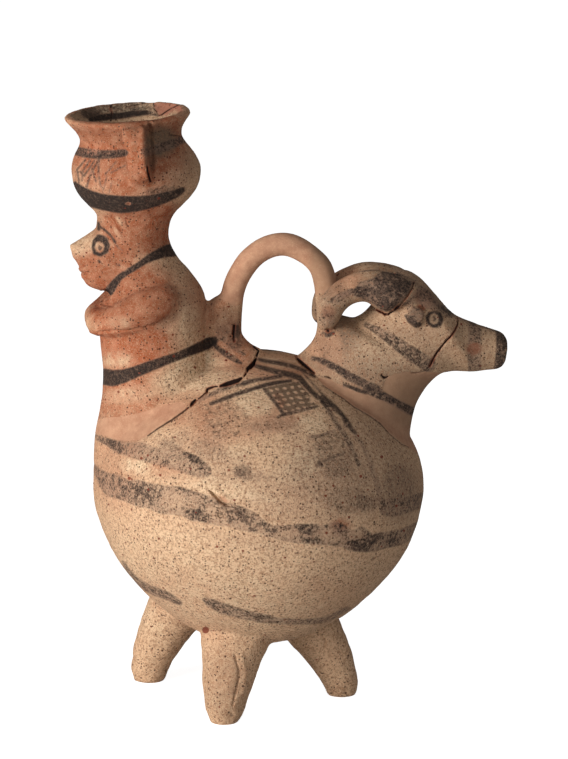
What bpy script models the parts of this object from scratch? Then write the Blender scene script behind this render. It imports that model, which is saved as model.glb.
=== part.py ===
"""Askos: a hollow terracotta globe on three legs.

A woman stands on one side of the globe and carries a two-handled jar on her head, a ram's head
and neck rise from the other side, and a basket handle joins the two.

Metres, +Z up, the ram's head towards +X, the feet on Z = 0. While it is modelled, X = Y = 0 lies
under the middle of the globe; at the end the whole vessel is moved so that the middle of its
base is the origin.
"""

import math

import bmesh
import bpy
import numpy as np
from mathutils import Matrix, Vector

MM = 0.001

# Clay walls and bores
GLOBE_WALL = 5.5 * MM
FIGURE_WALL = 6.0 * MM
JAR_WALL = 4.2 * MM
SPOUT_BORE = 7.0 * MM

# Globe
GLOBE_AXIS = 0.4 * MM
GLOBE_TILT = math.radians(3.9)
GLOBE_RADIUS = 79.1 * MM
GLOBE_CENTRE = 110.0 * MM
GLOBE_RISE = 61.5 * MM
GLOBE_DROP = 79.4 * MM

# Woman
WOMAN_AXIS = -50.0 * MM
WOMAN_FOOT = 120.0 * MM
WOMAN_HEIGHT = 123.0 * MM
ARM_THICKNESS = 14.0 * MM

# Jar on her head
JAR_AXIS = -57.4 * MM
JAR_RADIUS = 30.2 * MM
JAR_HEIGHT = 47.6 * MM
JAR_LEAN = math.radians(3.0)
JAR_SWAY = 0.035
JAR_SLUMP = 0.10
STRAP_WIDTH = 10.6 * MM
STRAP_THICKNESS = 5.0 * MM

# Ram
RAM_CHEST = Vector((45.0 * MM, 0.0, 125.0 * MM))
RAM_LENGTH = 96.0 * MM
HORN_THICKNESS = 14.0 * MM
FAR_HORN_DROP = 3.5 * MM
EAR_THICKNESS = 11.0 * MM
EAR_TIP_THICKNESS = 8.5 * MM
EYE_DIAMETER = 6.0 * MM

# Basket handle
HANDLE_THICKNESS = 11.0 * MM
HANDLE_SPAN = 47.0 * MM
HANDLE_RISE = 39.3 * MM
HANDLE_SPRING = Vector((-13.1 * MM, 0.0, 185.0 * MM))

# Legs: the X and Y of each foot and of its root inside the globe's wall
FRONT_LEG = ((42.0 * MM, 5.0 * MM), (9.0 * MM, 0.0 * MM))
NEAR_LEG = ((-19.3 * MM, -31.5 * MM), (-8.0 * MM, -18.0 * MM))
FAR_LEG = ((-50.5 * MM, 38.5 * MM), (-25.0 * MM, 20.0 * MM))
ROOT_HEIGHT = 62.0 * MM
FRONT_FOOT_THICKNESS = 15.4 * MM
NEAR_FOOT_THICKNESS = 16.2 * MM
FAR_FOOT_THICKNESS = 17.0 * MM

# Fineness of the model
CLAY_GRAIN = 1.9 * MM
OUTER_FACETS = 6600
INNER_FACETS = 2500

# Woman's ribs in shares of her height: height, front, back, half width
WOMAN_RIBS = (
    (0.00, -0.233, 0.325, 0.244),
    (0.12, -0.221, 0.293, 0.236),
    (0.24, -0.198, 0.244, 0.215),
    (0.37, -0.189, 0.215, 0.207),
    (0.50, -0.199, 0.203, 0.211),
    (0.59, -0.200, 0.203, 0.215),
    (0.66, -0.190, 0.203, 0.195),
    (0.74, -0.192, 0.157, 0.159),
    (0.81, -0.206, 0.103, 0.150),
    (0.89, -0.210, 0.068, 0.151),
    (1.00, -0.205, 0.082, 0.156),
)

# Her pinched face, in the same shares: upper edge, lower edge, half width
FACE_RIBS = (
    ((-0.14, 0.96), (-0.12, 0.67), 0.130),
    ((-0.21, 0.925), (-0.20, 0.685), 0.105),
    ((-0.25, 0.90), (-0.25, 0.708), 0.062),
    ((-0.285, 0.88), (-0.278, 0.778), 0.034),
    ((-0.309, 0.865), (-0.305, 0.82), 0.020),
)

# Ram's ribs in shares of its length from the chest: nape or brow, chest or jaw, half width
RAM_RIBS = (
    ((-0.47, 0.16), (0.26, -0.34), 0.31),
    ((-0.32, 0.42), (0.285, -0.13), 0.30),
    ((-0.24, 0.485), (0.288, 0.03), 0.285),
    ((-0.18, 0.56), (0.315, 0.19), 0.27),
    ((-0.158, 0.64), (0.362, 0.286), 0.255),
    ((-0.09, 0.67), (0.413, 0.346), 0.245),
    ((0.01, 0.65), (0.455, 0.374), 0.23),
    ((0.089, 0.708), (0.49, 0.378), 0.21),
    ((0.156, 0.815), (0.521, 0.378), 0.193),
    ((0.245, 0.89), (0.547, 0.375), 0.188),
    ((0.33, 0.86), (0.573, 0.373), 0.182),
    ((0.41, 0.775), (0.594, 0.372), 0.167),
    ((0.505, 0.665), (0.625, 0.372), 0.135),
    ((0.62, 0.613), (0.667, 0.376), 0.115),
    ((0.745, 0.567), (0.72, 0.378), 0.094),
    ((0.78, 0.526), (0.755, 0.395), 0.078),
)
RIBS_WITH_CHANNEL = 12
SPOUT_HEIGHT = 0.474

# Horn in the same shares: along, out to the side, up, thickness as a share of HORN_THICKNESS
HORN_LINE = (
    (0.245, 0.115, 0.80, 1.10),
    (0.165, 0.125, 0.812, 1.35),
    (0.08, 0.112, 0.838, 1.15),
    (0.01, 0.112, 0.832, 1.00),
    (-0.055, 0.122, 0.808, 0.94),
    (-0.103, 0.136, 0.768, 0.91),
    (-0.125, 0.148, 0.732, 0.88),
    (-0.142, 0.160, 0.668, 0.68),
    (-0.139, 0.162, 0.632, 0.40),
)

# Jar in shares of its height and radius, lip to foot
JAR_PROFILE = (
    (1.00, 0.955),
    (0.975, 0.98),
    (0.94, 0.94),
    (0.86, 0.84),
    (0.77, 0.785),
    (0.69, 0.815),
    (0.60, 0.91),
    (0.50, 0.98),
    (0.40, 1.00),
    (0.30, 0.975),
    (0.20, 0.89),
    (0.10, 0.755),
    (0.00, 0.61),
    (-0.12, 0.53),
)


def smooth_rows(rows, steps=4):
    """Rows of numbers on a smooth curve through the given rows."""
    rows = np.array(rows, dtype=float)
    padded = np.vstack((2 * rows[0] - rows[1], rows, 2 * rows[-1] - rows[-2]))
    result = []
    for index in range(len(rows) - 1):
        before, start, end, after = padded[index:index + 4]
        for step in range(steps):
            t = step / steps
            bend = 2 * before - 5 * start + 4 * end - after
            twist = 3 * start - before - 3 * end + after
            result.append(start + 0.5 * t * (end - before + t * (bend + t * twist)))
    result.append(rows[-1])
    return np.array(result)


def mesh_object(name, mesh, collection):
    """An object of its own for a mesh."""
    piece = bpy.data.objects.new(name, mesh)
    collection.objects.link(piece)
    return piece


def as_mesh(piece, weld=False):
    """Replace an object by the mesh that its modifiers or its curve give."""
    graph = bpy.context.evaluated_depsgraph_get()
    mesh = bpy.data.meshes.new_from_object(piece.evaluated_get(graph))
    name = piece.name
    collection = piece.users_collection[0]
    matrix = piece.matrix_world.copy()
    bpy.data.objects.remove(piece)
    if weld:
        form = bmesh.new()
        form.from_mesh(mesh)
        bmesh.ops.remove_doubles(form, verts=form.verts, dist=0.01 * MM)
        bmesh.ops.recalc_face_normals(form, faces=form.faces)
        form.to_mesh(mesh)
        form.free()
    result = mesh_object(name, mesh, collection)
    result.matrix_world = matrix
    return result


def lofted(name, ribs, collection, wall=0.0, sides=36):
    """A body through elliptical ribs, each (first point, last point, half width, side).

    The points are (x, z) pairs and the side is the Y of the rib's middle. A wall pulls each
    rib in by that much.
    """
    rows = []
    for first, last, half_width, side in ribs:
        rows.append((*first, *last, half_width, side))
    form = bmesh.new()
    rings = []
    for x0, z0, x1, z1, half_width, side in smooth_rows(rows):
        middle = Vector(((x0 + x1) / 2, side, (z0 + z1) / 2))
        arm = Vector(((x0 - x1) / 2, 0.0, (z0 - z1) / 2))
        arm *= max(arm.length - wall, MM) / arm.length
        across = Vector((0.0, max(half_width - wall, MM), 0.0))
        ring = []
        for index in range(sides):
            turn = 2 * math.pi * index / sides
            ring.append(form.verts.new(middle + arm * math.cos(turn) + across * math.sin(turn)))
        rings.append(ring)
    for lower, upper in zip(rings, rings[1:]):
        for index in range(sides):
            after = (index + 1) % sides
            form.faces.new((lower[index], lower[after], upper[after], upper[index]))
    form.faces.new(rings[0])
    form.faces.new(rings[-1])
    bmesh.ops.recalc_face_normals(form, faces=form.faces)
    mesh = bpy.data.meshes.new(name)
    form.to_mesh(mesh)
    form.free()
    return mesh_object(name, mesh, collection)


def rolled(name, points, thicknesses, collection, sides=8):
    """A roll of clay along a smooth line, with its thickness at each point."""
    rows = smooth_rows([(*point, width) for point, width in zip(points, thicknesses)])
    curve = bpy.data.curves.new(name, "CURVE")
    curve.dimensions = "3D"
    curve.bevel_depth = MM
    curve.bevel_resolution = sides // 2
    curve.use_fill_caps = True
    spline = curve.splines.new("POLY")
    spline.points.add(len(rows) - 1)
    for knot, (x, y, z, width) in zip(spline.points, rows):
        knot.co = (x, y, z, 1.0)
        knot.radius = width / 2 / MM
    piece = bpy.data.objects.new(name, curve)
    collection.objects.link(piece)
    return as_mesh(piece, weld=True)


def turned(name, profile, collection, turns=64):
    """A body turned about Z from (radius, height) pairs that run from its top to its bottom."""
    mesh = bpy.data.meshes.new(name)
    vertices = [(radius, 0.0, height) for radius, height in profile]
    edges = [(index, index + 1) for index in range(len(vertices) - 1)]
    mesh.from_pydata(vertices, edges, [])
    piece = mesh_object(name, mesh, collection)
    screw = piece.modifiers.new("Turn", "SCREW")
    screw.axis = "Z"
    screw.steps = turns
    screw.render_steps = turns
    screw.use_merge_vertices = True
    screw.merge_threshold = 0.00001
    return as_mesh(piece)


def globe_profile(wall=0.0, points=40):
    """Half outline of the globe: flatter above than below, and a little slack at its sides."""
    profile = []
    for index in range(points + 1):
        turn = math.pi * (0.5 - index / points)
        rise, most = (GLOBE_RISE, 0.026) if turn > 0 else (GLOBE_DROP, 0.037)
        slack = most * math.sin(2 * turn) ** 2
        radius = (GLOBE_RADIUS * (1 - slack) - wall) * math.cos(turn)
        height = (rise * (1 - slack) - wall) * math.sin(turn)
        profile.append((max(radius, 0.0), height))
    return profile


def globe(collection, wall=0.0):
    """The wheel-made globe, or with a wall its inside, tipped a little towards the ram."""
    piece = turned("globe", globe_profile(wall), collection)
    middle = Vector((GLOBE_AXIS, 0.0, GLOBE_CENTRE))
    tip = Matrix.Rotation(GLOBE_TILT, 3, "Y")
    for vertex in piece.data.vertices:
        vertex.co = tip @ vertex.co + middle
    return piece


def jar_profile(wall=0.0):
    """Outline of the jar, lip to foot; with a wall, the outline of its inside below the lip."""
    shares = smooth_rows(JAR_PROFILE, 3)
    line = np.column_stack((shares[:, 1] * JAR_RADIUS, shares[:, 0] * JAR_HEIGHT))
    slope = np.gradient(line, axis=0)
    steepness = np.abs(slope[:, 1]) / np.linalg.norm(slope, axis=1)
    line[:, 0] -= wall / np.maximum(steepness, 0.7)
    if wall:
        line = line[shares[:, 0] < 0.95]
    return [tuple(point) for point in line]


def place_on_head(piece):
    """Stand a jar piece on the head, its neck slumped and its lip leaning to the front."""
    bend = 0.42 * JAR_HEIGHT
    foot = Vector((JAR_AXIS, 0.0, WOMAN_FOOT + WOMAN_HEIGHT * 0.984))
    for vertex in piece.data.vertices:
        vertex.co.x += JAR_SWAY * min(vertex.co.z, bend)
        height = vertex.co.z - bend
        share = min(max(vertex.co.z / bend, 0.0), 1.0)
        lean = Matrix.Rotation(-JAR_LEAN * share, 3, "Y")
        vertex.co = lean @ Vector((vertex.co.x, vertex.co.y, height))
        vertex.co += foot + Vector((-JAR_SLUMP * max(height, 0.0), 0.0, bend))


def woman(collection, wall=0.0):
    """Her skirt, waist, shoulders, neck and head as one hollow column."""
    ribs = []
    for height, front, back, half_width in WOMAN_RIBS:
        z = WOMAN_FOOT + height * WOMAN_HEIGHT
        first = (WOMAN_AXIS + front * WOMAN_HEIGHT, z)
        last = (WOMAN_AXIS + back * WOMAN_HEIGHT, z)
        ribs.append((first, last, half_width * WOMAN_HEIGHT, 0.0))
    return lofted("woman", ribs, collection, wall)


def face(collection):
    """The pinched wedge of her face, from the brow to the chin, with plain lips."""
    ribs = []
    for upper, lower, half_width in FACE_RIBS:
        points = []
        for along, height in (upper, lower):
            points.append((WOMAN_AXIS + along * WOMAN_HEIGHT, WOMAN_FOOT + height * WOMAN_HEIGHT))
        ribs.append((*points, half_width * WOMAN_HEIGHT, 0.0))
    return lofted("face", ribs, collection, sides=24)


def arms(collection):
    """Both arms: from the back of the shoulder round to the hands in front of the chest."""
    line = (
        (0.065, 0.140, 0.700, 0.70),
        (0.030, 0.170, 0.675, 1.12),
        (-0.035, 0.178, 0.645, 1.32),
        (-0.105, 0.160, 0.612, 1.20),
        (-0.165, 0.118, 0.585, 1.00),
        (-0.205, 0.060, 0.574, 0.86),
        (-0.215, 0.000, 0.571, 0.80),
    )
    pieces = []
    for side in (-1, 1):
        points = []
        for along, out, height, _ in line:
            x = WOMAN_AXIS + along * WOMAN_HEIGHT
            z = WOMAN_FOOT + height * WOMAN_HEIGHT
            points.append((x, side * out * WOMAN_HEIGHT, z))
        widths = [width * ARM_THICKNESS for *_, width in line]
        pieces.append(rolled("arm", points, widths, collection))
    return pieces


def jar(collection):
    """The jar, still filled, and its two strap handles."""
    outline = [(0.0, JAR_HEIGHT)] + jar_profile() + [(0.0, -0.12 * JAR_HEIGHT)]
    pieces = [turned("jar", outline, collection)]
    line = (
        (0.93, 0.86),
        (0.955, 0.99),
        (0.85, 1.09),
        (0.70, 1.13),
        (0.55, 1.11),
        (0.42, 1.00),
        (0.36, 0.88),
    )
    for side in (-1, 1):
        ribs = []
        for height, out in line:
            z = height * JAR_HEIGHT
            half = STRAP_WIDTH / 2
            ribs.append(((half, z), (-half, z), STRAP_THICKNESS / 2, side * out * JAR_RADIUS))
        pieces.append(lofted("strap_handle", ribs, collection, sides=16))
    for piece in pieces:
        place_on_head(piece)
    return pieces


def jar_cup(collection):
    """The inside of the jar, carried up past the lip."""
    inside = jar_profile(JAR_WALL)
    mouth = JAR_RADIUS * JAR_PROFILE[1][1] - 0.8 * JAR_WALL
    outline = [(0.0, 1.2 * JAR_HEIGHT), (mouth, 1.2 * JAR_HEIGHT), (mouth, JAR_HEIGHT)]
    outline += inside + [(0.0, inside[-1][1])]
    piece = turned("jar_cup", outline, collection)
    place_on_head(piece)
    return piece


def ram_point(along, up, side=0.0):
    """A point given in shares of the ram's length from its chest."""
    return RAM_CHEST + RAM_LENGTH * Vector((along, side, up))


def ram(collection, ribs, wall=0.0):
    """The ram's neck and head as a column that bends forward into the muzzle."""
    rows = []
    for first, last, half_width in ribs:
        upper = ram_point(*first)
        lower = ram_point(*last)
        rows.append(((upper.x, upper.z), (lower.x, lower.z), half_width * RAM_LENGTH, 0.0))
    return lofted("ram", rows, collection, wall)


def ram_features(collection):
    """Horns, ear stumps and eye pellets, the same on both sides."""
    pieces = []
    for side in (-1, 1):
        points = [ram_point(along, up, side * out) for along, out, up, _ in HORN_LINE]
        if side > 0:
            for index, point in enumerate(points):
                droop = FAR_HORN_DROP * index / len(points)
                point += Vector((0.4 * droop, 0.0, -droop))
        widths = [width * HORN_THICKNESS for *_, width in HORN_LINE]
        pieces.append(rolled("horn", points, widths, collection))
        root = ram_point(0.285, 0.675, side * 0.13)
        end = ram_point(0.295, 0.71, side * 0.225)
        pieces.append(rolled("ear", (root, end), (EAR_THICKNESS, EAR_TIP_THICKNESS), collection))
        root = ram_point(0.375, 0.68, side * 0.09)
        end = ram_point(0.385, 0.69, side * 0.178)
        pieces.append(rolled("eye", (root, end), (EYE_DIAMETER, EYE_DIAMETER), collection))
    return pieces


def spout_bore(collection):
    """The bore from the ram's head out through the cut end of the muzzle, as a cutter."""
    points = [ram_point(along, SPOUT_HEIGHT) for along in (0.46, 0.65, 0.84)]
    return rolled("spout_bore", points, (SPOUT_BORE,) * 3, collection)


def basket_handle(collection):
    """The round handle over the globe, and the stump of the first handle that it stands on."""
    line = (
        (0.00, -0.15),
        (0.025, 0.36),
        (0.12, 0.68),
        (0.29, 0.91),
        (0.51, 1.00),
        (0.70, 0.94),
        (0.89, 0.76),
        (0.965, 0.55),
        (0.99, 0.30),
        (1.00, 0.02),
    )
    points = []
    for along, up in line:
        shift = Vector((along * HANDLE_SPAN, 0.0, up * HANDLE_RISE))
        points.append(HANDLE_SPRING + shift)
    handle = rolled("basket_handle", points, (HANDLE_THICKNESS,) * len(points), collection)
    stump_ribs = (
        ((-1.75, -2.0), (1.95, -1.65), 1.55),
        ((-1.60, -1.20), (1.45, -1.1), 1.05),
        ((-1.30, -0.55), (0.62, -0.5), 0.70),
        ((-1.20, 0.25), (0.48, 0.3), 0.62),
        ((-1.02, 1.0), (0.52, 1.0), 0.57),
        ((-0.42, 1.4), (0.58, 1.35), 0.53),
    )
    ribs = []
    for first, last, half_width in stump_ribs:
        points = []
        for along, up in (first, last):
            x = HANDLE_SPRING.x + along * HANDLE_THICKNESS
            points.append((x, HANDLE_SPRING.z + up * HANDLE_THICKNESS))
        ribs.append((*points, half_width * HANDLE_THICKNESS, 0.0))
    return [handle, lofted("handle_stump", ribs, collection, sides=24)]


def legs(collection):
    """Three short legs that splay from the underside of the globe and narrow to the feet."""
    line = (
        (-0.04, 0.00, 0.62),
        (0.01, 0.00, 0.86),
        (0.05, 0.02, 1.02),
        (0.12, 0.05, 1.16),
        (0.28, 0.16, 1.38),
        (0.48, 0.36, 1.66),
        (0.70, 0.62, 1.98),
        (1.00, 1.00, 2.05),
    )
    stances = (
        (FRONT_LEG, FRONT_FOOT_THICKNESS, 0.92),
        (NEAR_LEG, NEAR_FOOT_THICKNESS, 1.16),
        (FAR_LEG, FAR_FOOT_THICKNESS, 0.78),
    )
    pieces = []
    for (foot, root), thickness, flare in stances:
        foot = Vector((*foot, 0.0))
        splay = Vector((*root, 0.0)) - foot
        points = [foot + splay * drift + Vector((0, 0, up * ROOT_HEIGHT)) for up, drift, _ in line]
        widths = [thickness * (1 + (share - 1) * (flare if share > 1 else 1)) for *_, share in line]
        pieces.append(rolled("leg", points, widths, collection, sides=12))
    return pieces


def fused(name, pieces, facets, collection):
    """Work several overlapping bodies into one skin, as wet clay is, with this many facets."""
    form = bmesh.new()
    for piece in pieces:
        form.from_mesh(piece.data)
        bpy.data.objects.remove(piece)
    mesh = bpy.data.meshes.new(name)
    form.to_mesh(mesh)
    form.free()
    clay = mesh_object(name, mesh, collection)
    remesh = clay.modifiers.new("Fuse", "REMESH")
    remesh.mode = "VOXEL"
    remesh.voxel_size = CLAY_GRAIN
    smooth = clay.modifiers.new("Soften", "SMOOTH")
    smooth.factor = 0.5
    smooth.iterations = 3
    clay = as_mesh(clay)
    thin = clay.modifiers.new("Facet", "DECIMATE")
    thin.ratio = min(facets / (2 * len(clay.data.polygons)), 1.0)
    return as_mesh(clay)


def cut(piece, cutter):
    """Take a cutter's volume out of a piece."""
    boolean = piece.modifiers.new(cutter.name, "BOOLEAN")
    boolean.operation = "DIFFERENCE"
    boolean.solver = "EXACT"
    boolean.object = cutter


def ground_block(collection):
    """Everything under the floor, which levels the feet."""
    form = bmesh.new()
    bmesh.ops.create_cube(form, size=1.0)
    bmesh.ops.scale(form, vec=(0.4, 0.4, 0.05), verts=form.verts)
    bmesh.ops.translate(form, vec=(0.0, 0.0, -0.025), verts=form.verts)
    mesh = bpy.data.meshes.new("ground_block")
    form.to_mesh(mesh)
    form.free()
    return mesh_object("ground_block", mesh, collection)


def terracotta():
    """Buff fired clay."""
    material = bpy.data.materials.new("terracotta")
    material.use_nodes = True
    shader = material.node_tree.nodes["Principled BSDF"]
    shader.inputs["Base Color"].default_value = (0.55, 0.36, 0.23, 1.0)
    shader.inputs["Roughness"].default_value = 0.85
    shader.inputs["Metallic"].default_value = 0.0
    material.diffuse_color = (0.55, 0.36, 0.23, 1.0)
    return material


def stand_at_origin(piece, others):
    """Move the vessel and its cutters so that the middle of its base is the origin."""
    graph = bpy.context.evaluated_depsgraph_get()
    mesh = bpy.data.meshes.new_from_object(piece.evaluated_get(graph))
    points = np.array([vertex.co[:] for vertex in mesh.vertices])
    bpy.data.meshes.remove(mesh)
    middle = (points.min(axis=0) + points.max(axis=0)) / 2
    for item in (piece, *others):
        item.location = (-middle[0], -middle[1], 0.0)


def main():
    """Build the askos."""
    for item in list(bpy.data.objects):
        bpy.data.objects.remove(item)
    parts = bpy.data.collections.new("askos_parts")
    cutters = bpy.data.collections.new("cutters")
    for collection in (parts, cutters):
        bpy.context.scene.collection.children.link(collection)

    clay = [globe(parts), woman(parts), face(parts)]
    clay += arms(parts) + jar(parts)
    clay += [ram(parts, RAM_RIBS)] + ram_features(parts)
    clay += basket_handle(parts) + legs(parts)
    askos = fused("askos", clay, OUTER_FACETS, parts)

    hollow = [
        globe(cutters, GLOBE_WALL),
        woman(cutters, FIGURE_WALL),
        ram(cutters, RAM_RIBS[:RIBS_WITH_CHANNEL], FIGURE_WALL),
        jar_cup(cutters),
    ]
    inside = fused("inside", hollow, INNER_FACETS, cutters)

    blocks = (inside, spout_bore(cutters), ground_block(cutters))
    for block in blocks:
        block.hide_render = True
        block.display_type = "WIRE"
        cut(askos, block)
    stand_at_origin(askos, blocks)
    askos.data.materials.clear()
    askos.data.materials.append(terracotta())
    askos.data.shade_smooth()
    askos.data.set_sharp_from_angle(angle=math.radians(40))


main()
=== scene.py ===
"""The askos as it looks: worn, cracked and painted terracotta on a pale studio floor.

Tables of forms are in millimetres, with the globe's axis at X = Y = 0 and the feet on Z = 0, as the potter
would measure them. Marks of paint and wear, and patches of painted shade and painted light, are placed on a
front view of the vessel.
"""

import logging
import math
from collections.abc import Iterator
from contextlib import contextmanager
from dataclasses import dataclass
from enum import Enum

import bmesh
import bpy
import numpy as np
from bpy.types import Material, Mesh, Node, NodeSocket, NodeTree, Object
from mathutils import Matrix, Vector, noise
from mathutils.bvhtree import BVHTree


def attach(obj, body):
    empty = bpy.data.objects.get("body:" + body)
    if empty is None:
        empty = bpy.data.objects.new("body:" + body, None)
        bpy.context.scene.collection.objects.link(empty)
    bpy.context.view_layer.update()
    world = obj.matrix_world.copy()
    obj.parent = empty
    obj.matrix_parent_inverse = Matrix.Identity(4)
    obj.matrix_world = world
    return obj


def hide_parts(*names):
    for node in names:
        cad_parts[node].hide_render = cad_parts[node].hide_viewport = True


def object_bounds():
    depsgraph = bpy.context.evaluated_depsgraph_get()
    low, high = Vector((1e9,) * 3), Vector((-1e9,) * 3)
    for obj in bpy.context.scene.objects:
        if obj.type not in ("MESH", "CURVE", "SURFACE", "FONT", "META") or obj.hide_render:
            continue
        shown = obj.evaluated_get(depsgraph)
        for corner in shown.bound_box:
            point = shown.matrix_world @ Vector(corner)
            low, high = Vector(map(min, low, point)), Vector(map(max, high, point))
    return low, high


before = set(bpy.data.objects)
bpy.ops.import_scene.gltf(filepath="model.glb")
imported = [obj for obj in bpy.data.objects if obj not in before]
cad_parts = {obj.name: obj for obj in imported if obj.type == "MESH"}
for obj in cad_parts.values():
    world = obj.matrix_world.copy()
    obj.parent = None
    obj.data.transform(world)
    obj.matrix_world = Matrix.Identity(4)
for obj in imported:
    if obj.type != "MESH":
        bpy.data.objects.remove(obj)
CAD_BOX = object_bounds()

MM = 0.001
AXIS_IN_FRAME = -15.11
FAR_OUTSIDE = -40.0
MOUTH_FLOOR = 255.0
NEAR_SIDE = 4.0
SOLE = 5.0
LOG = logging.getLogger("askos")


def smooth_rows(rows: list, steps: int = 6) -> np.ndarray:
    """Rows of numbers on a smooth curve through the given rows.

    Args:
        rows: The rows that the curve passes through.
        steps: How many rows each span gives.

    Returns:
        The finer rows.
    """
    rows = np.array(rows, dtype=float)
    padded = np.vstack((2 * rows[0] - rows[1], rows, 2 * rows[-1] - rows[-2]))
    result = []
    for index in range(len(rows) - 1):
        before, start, end, after = padded[index:index + 4]
        for step in range(steps):
            t = step / steps
            bend = 2 * before - 5 * start + 4 * end - after
            twist = 3 * start - before - 3 * end + after
            result.append(start + 0.5 * t * (end - before + t * (bend + t * twist)))
    result.append(rows[-1])
    return np.array(result)


def ramp(values: np.ndarray, low: float, high: float) -> np.ndarray:
    """Smooth step of an array from 0 at low to 1 at high."""
    share = np.clip((values - low) / (high - low), 0.0, 1.0)
    return share * share * (3 - 2 * share)


def cloud(points: np.ndarray, size: float, seed: float = 0.0) -> np.ndarray:
    """Smooth noise from about -1 to 1 at points in mm, with blobs of a size in mm."""
    shift = Vector((seed, 1.7 * seed, -seed))
    return np.array([noise.noise(Vector(point) / size + shift) for point in points])


def add_object(name: str, mesh: Mesh) -> Object:
    """Put a mesh in the scene as an object at the origin.

    Args:
        name: The object's name.
        mesh: Its mesh.

    Returns:
        The object.
    """
    piece = bpy.data.objects.new(name, mesh)
    bpy.context.scene.collection.objects.link(piece)
    return piece


def settle(piece: Object) -> Object:
    """Turn an object with its modifiers or its curve into a plain mesh object.

    Args:
        piece: The object, which is taken away.

    Returns:
        The plain object of the same name.
    """
    graph = bpy.context.evaluated_depsgraph_get()
    mesh = bpy.data.meshes.new_from_object(piece.evaluated_get(graph))
    name = piece.name
    bpy.data.objects.remove(piece)
    return add_object(name, mesh)


def read_points(mesh: Mesh) -> np.ndarray:
    """The mesh's points in mm from the globe's axis.

    Args:
        mesh: The mesh.

    Returns:
        One row for each point.
    """
    flat = np.empty(len(mesh.vertices) * 3)
    mesh.vertices.foreach_get("co", flat)
    points = flat.reshape(-1, 3) / MM
    points[:, 0] -= AXIS_IN_FRAME
    return points


def read_normals(mesh: Mesh) -> np.ndarray:
    """The normals at the mesh's points.

    Args:
        mesh: The mesh.

    Returns:
        One row for each point.
    """
    flat = np.empty(len(mesh.vertices) * 3)
    mesh.vertex_normals.foreach_get("vector", flat)
    return flat.reshape(-1, 3)


def write_points(mesh: Mesh, points: np.ndarray) -> None:
    """Give the mesh points in mm from the globe's axis.

    Args:
        mesh: The mesh.
        points: One row for each point.
    """
    moved = points.copy()
    moved[:, 0] += AXIS_IN_FRAME
    mesh.vertices.foreach_set("co", (moved * MM).ravel())
    mesh.update()


@contextmanager
def opened(mesh: Mesh) -> Iterator[bmesh.types.BMesh]:
    """Open a mesh for work on its faces, and write it back afterwards.

    Args:
        mesh: The mesh.

    Yields:
        The open form.
    """
    form = bmesh.new()
    form.from_mesh(mesh)
    yield form
    form.to_mesh(mesh)
    form.free()


class Amount:
    """A number that a node tree reckons: arithmetic on it adds Math nodes."""

    def __init__(self, bench: "NodeBench", socket: NodeSocket) -> None:
        """Take a socket of the bench's tree."""
        self.bench = bench
        self.socket = socket

    def __add__(self, other: object) -> "Amount":
        """Add a number."""
        return self.bench.math("ADD", self, other)

    def __sub__(self, other: object) -> "Amount":
        """Take away a number."""
        return self.bench.math("SUBTRACT", self, other)

    def __rsub__(self, other: object) -> "Amount":
        """Take this from a number."""
        return self.bench.math("SUBTRACT", other, self)

    def __mul__(self, other: object) -> "Amount":
        """Multiply by a number."""
        return self.bench.math("MULTIPLY", self, other)

    def held(self) -> "Amount":
        """Keep the last result from 0 to 1."""
        self.socket.node.use_clamp = True
        return self

    def spread(self, amount: float) -> "Amount":
        """Spread values from 0 to 1 away from their middle."""
        return (self - 0.5) * amount + 0.5

    def ramp(self, low: float, high: float) -> "Amount":
        """Turn the amount into a smooth step.

        Args:
            low: Where the step starts from 0.
            high: Where it reaches 1.

        Returns:
            The step.
        """
        made = self.bench.tree.nodes.new("ShaderNodeMapRange")
        made.interpolation_type = "SMOOTHSTEP"
        for name, value in (("Value", self), ("From Min", low), ("From Max", high)):
            self.bench.feed(made.inputs[name], value)
        return Amount(self.bench, made.outputs[0])


class NodeBench:
    """A tree of nodes in the making, of a form or of a finish."""

    def __init__(self, tree: NodeTree) -> None:
        """Take the tree."""
        self.tree = tree

    def feed(self, socket: NodeSocket, value: object) -> None:
        """Link an input socket to an amount or another socket, or set it to a plain value.

        Args:
            socket: The input.
            value: An amount, a socket or a plain value.
        """
        if isinstance(value, Amount):
            value = value.socket
        if isinstance(value, NodeSocket):
            self.tree.links.new(value, socket)
        else:
            socket.default_value = value

    def math(self, kind: str, first: object, second: object = 0.0) -> Amount:
        """Add a Math node.

        Args:
            kind: What it reckons.
            first: Its first amount or number.
            second: Its second one.

        Returns:
            The result.
        """
        made = self.tree.nodes.new("ShaderNodeMath")
        made.operation = kind
        self.feed(made.inputs[0], first)
        self.feed(made.inputs[1], second)
        return Amount(self, made.outputs[0])


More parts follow.
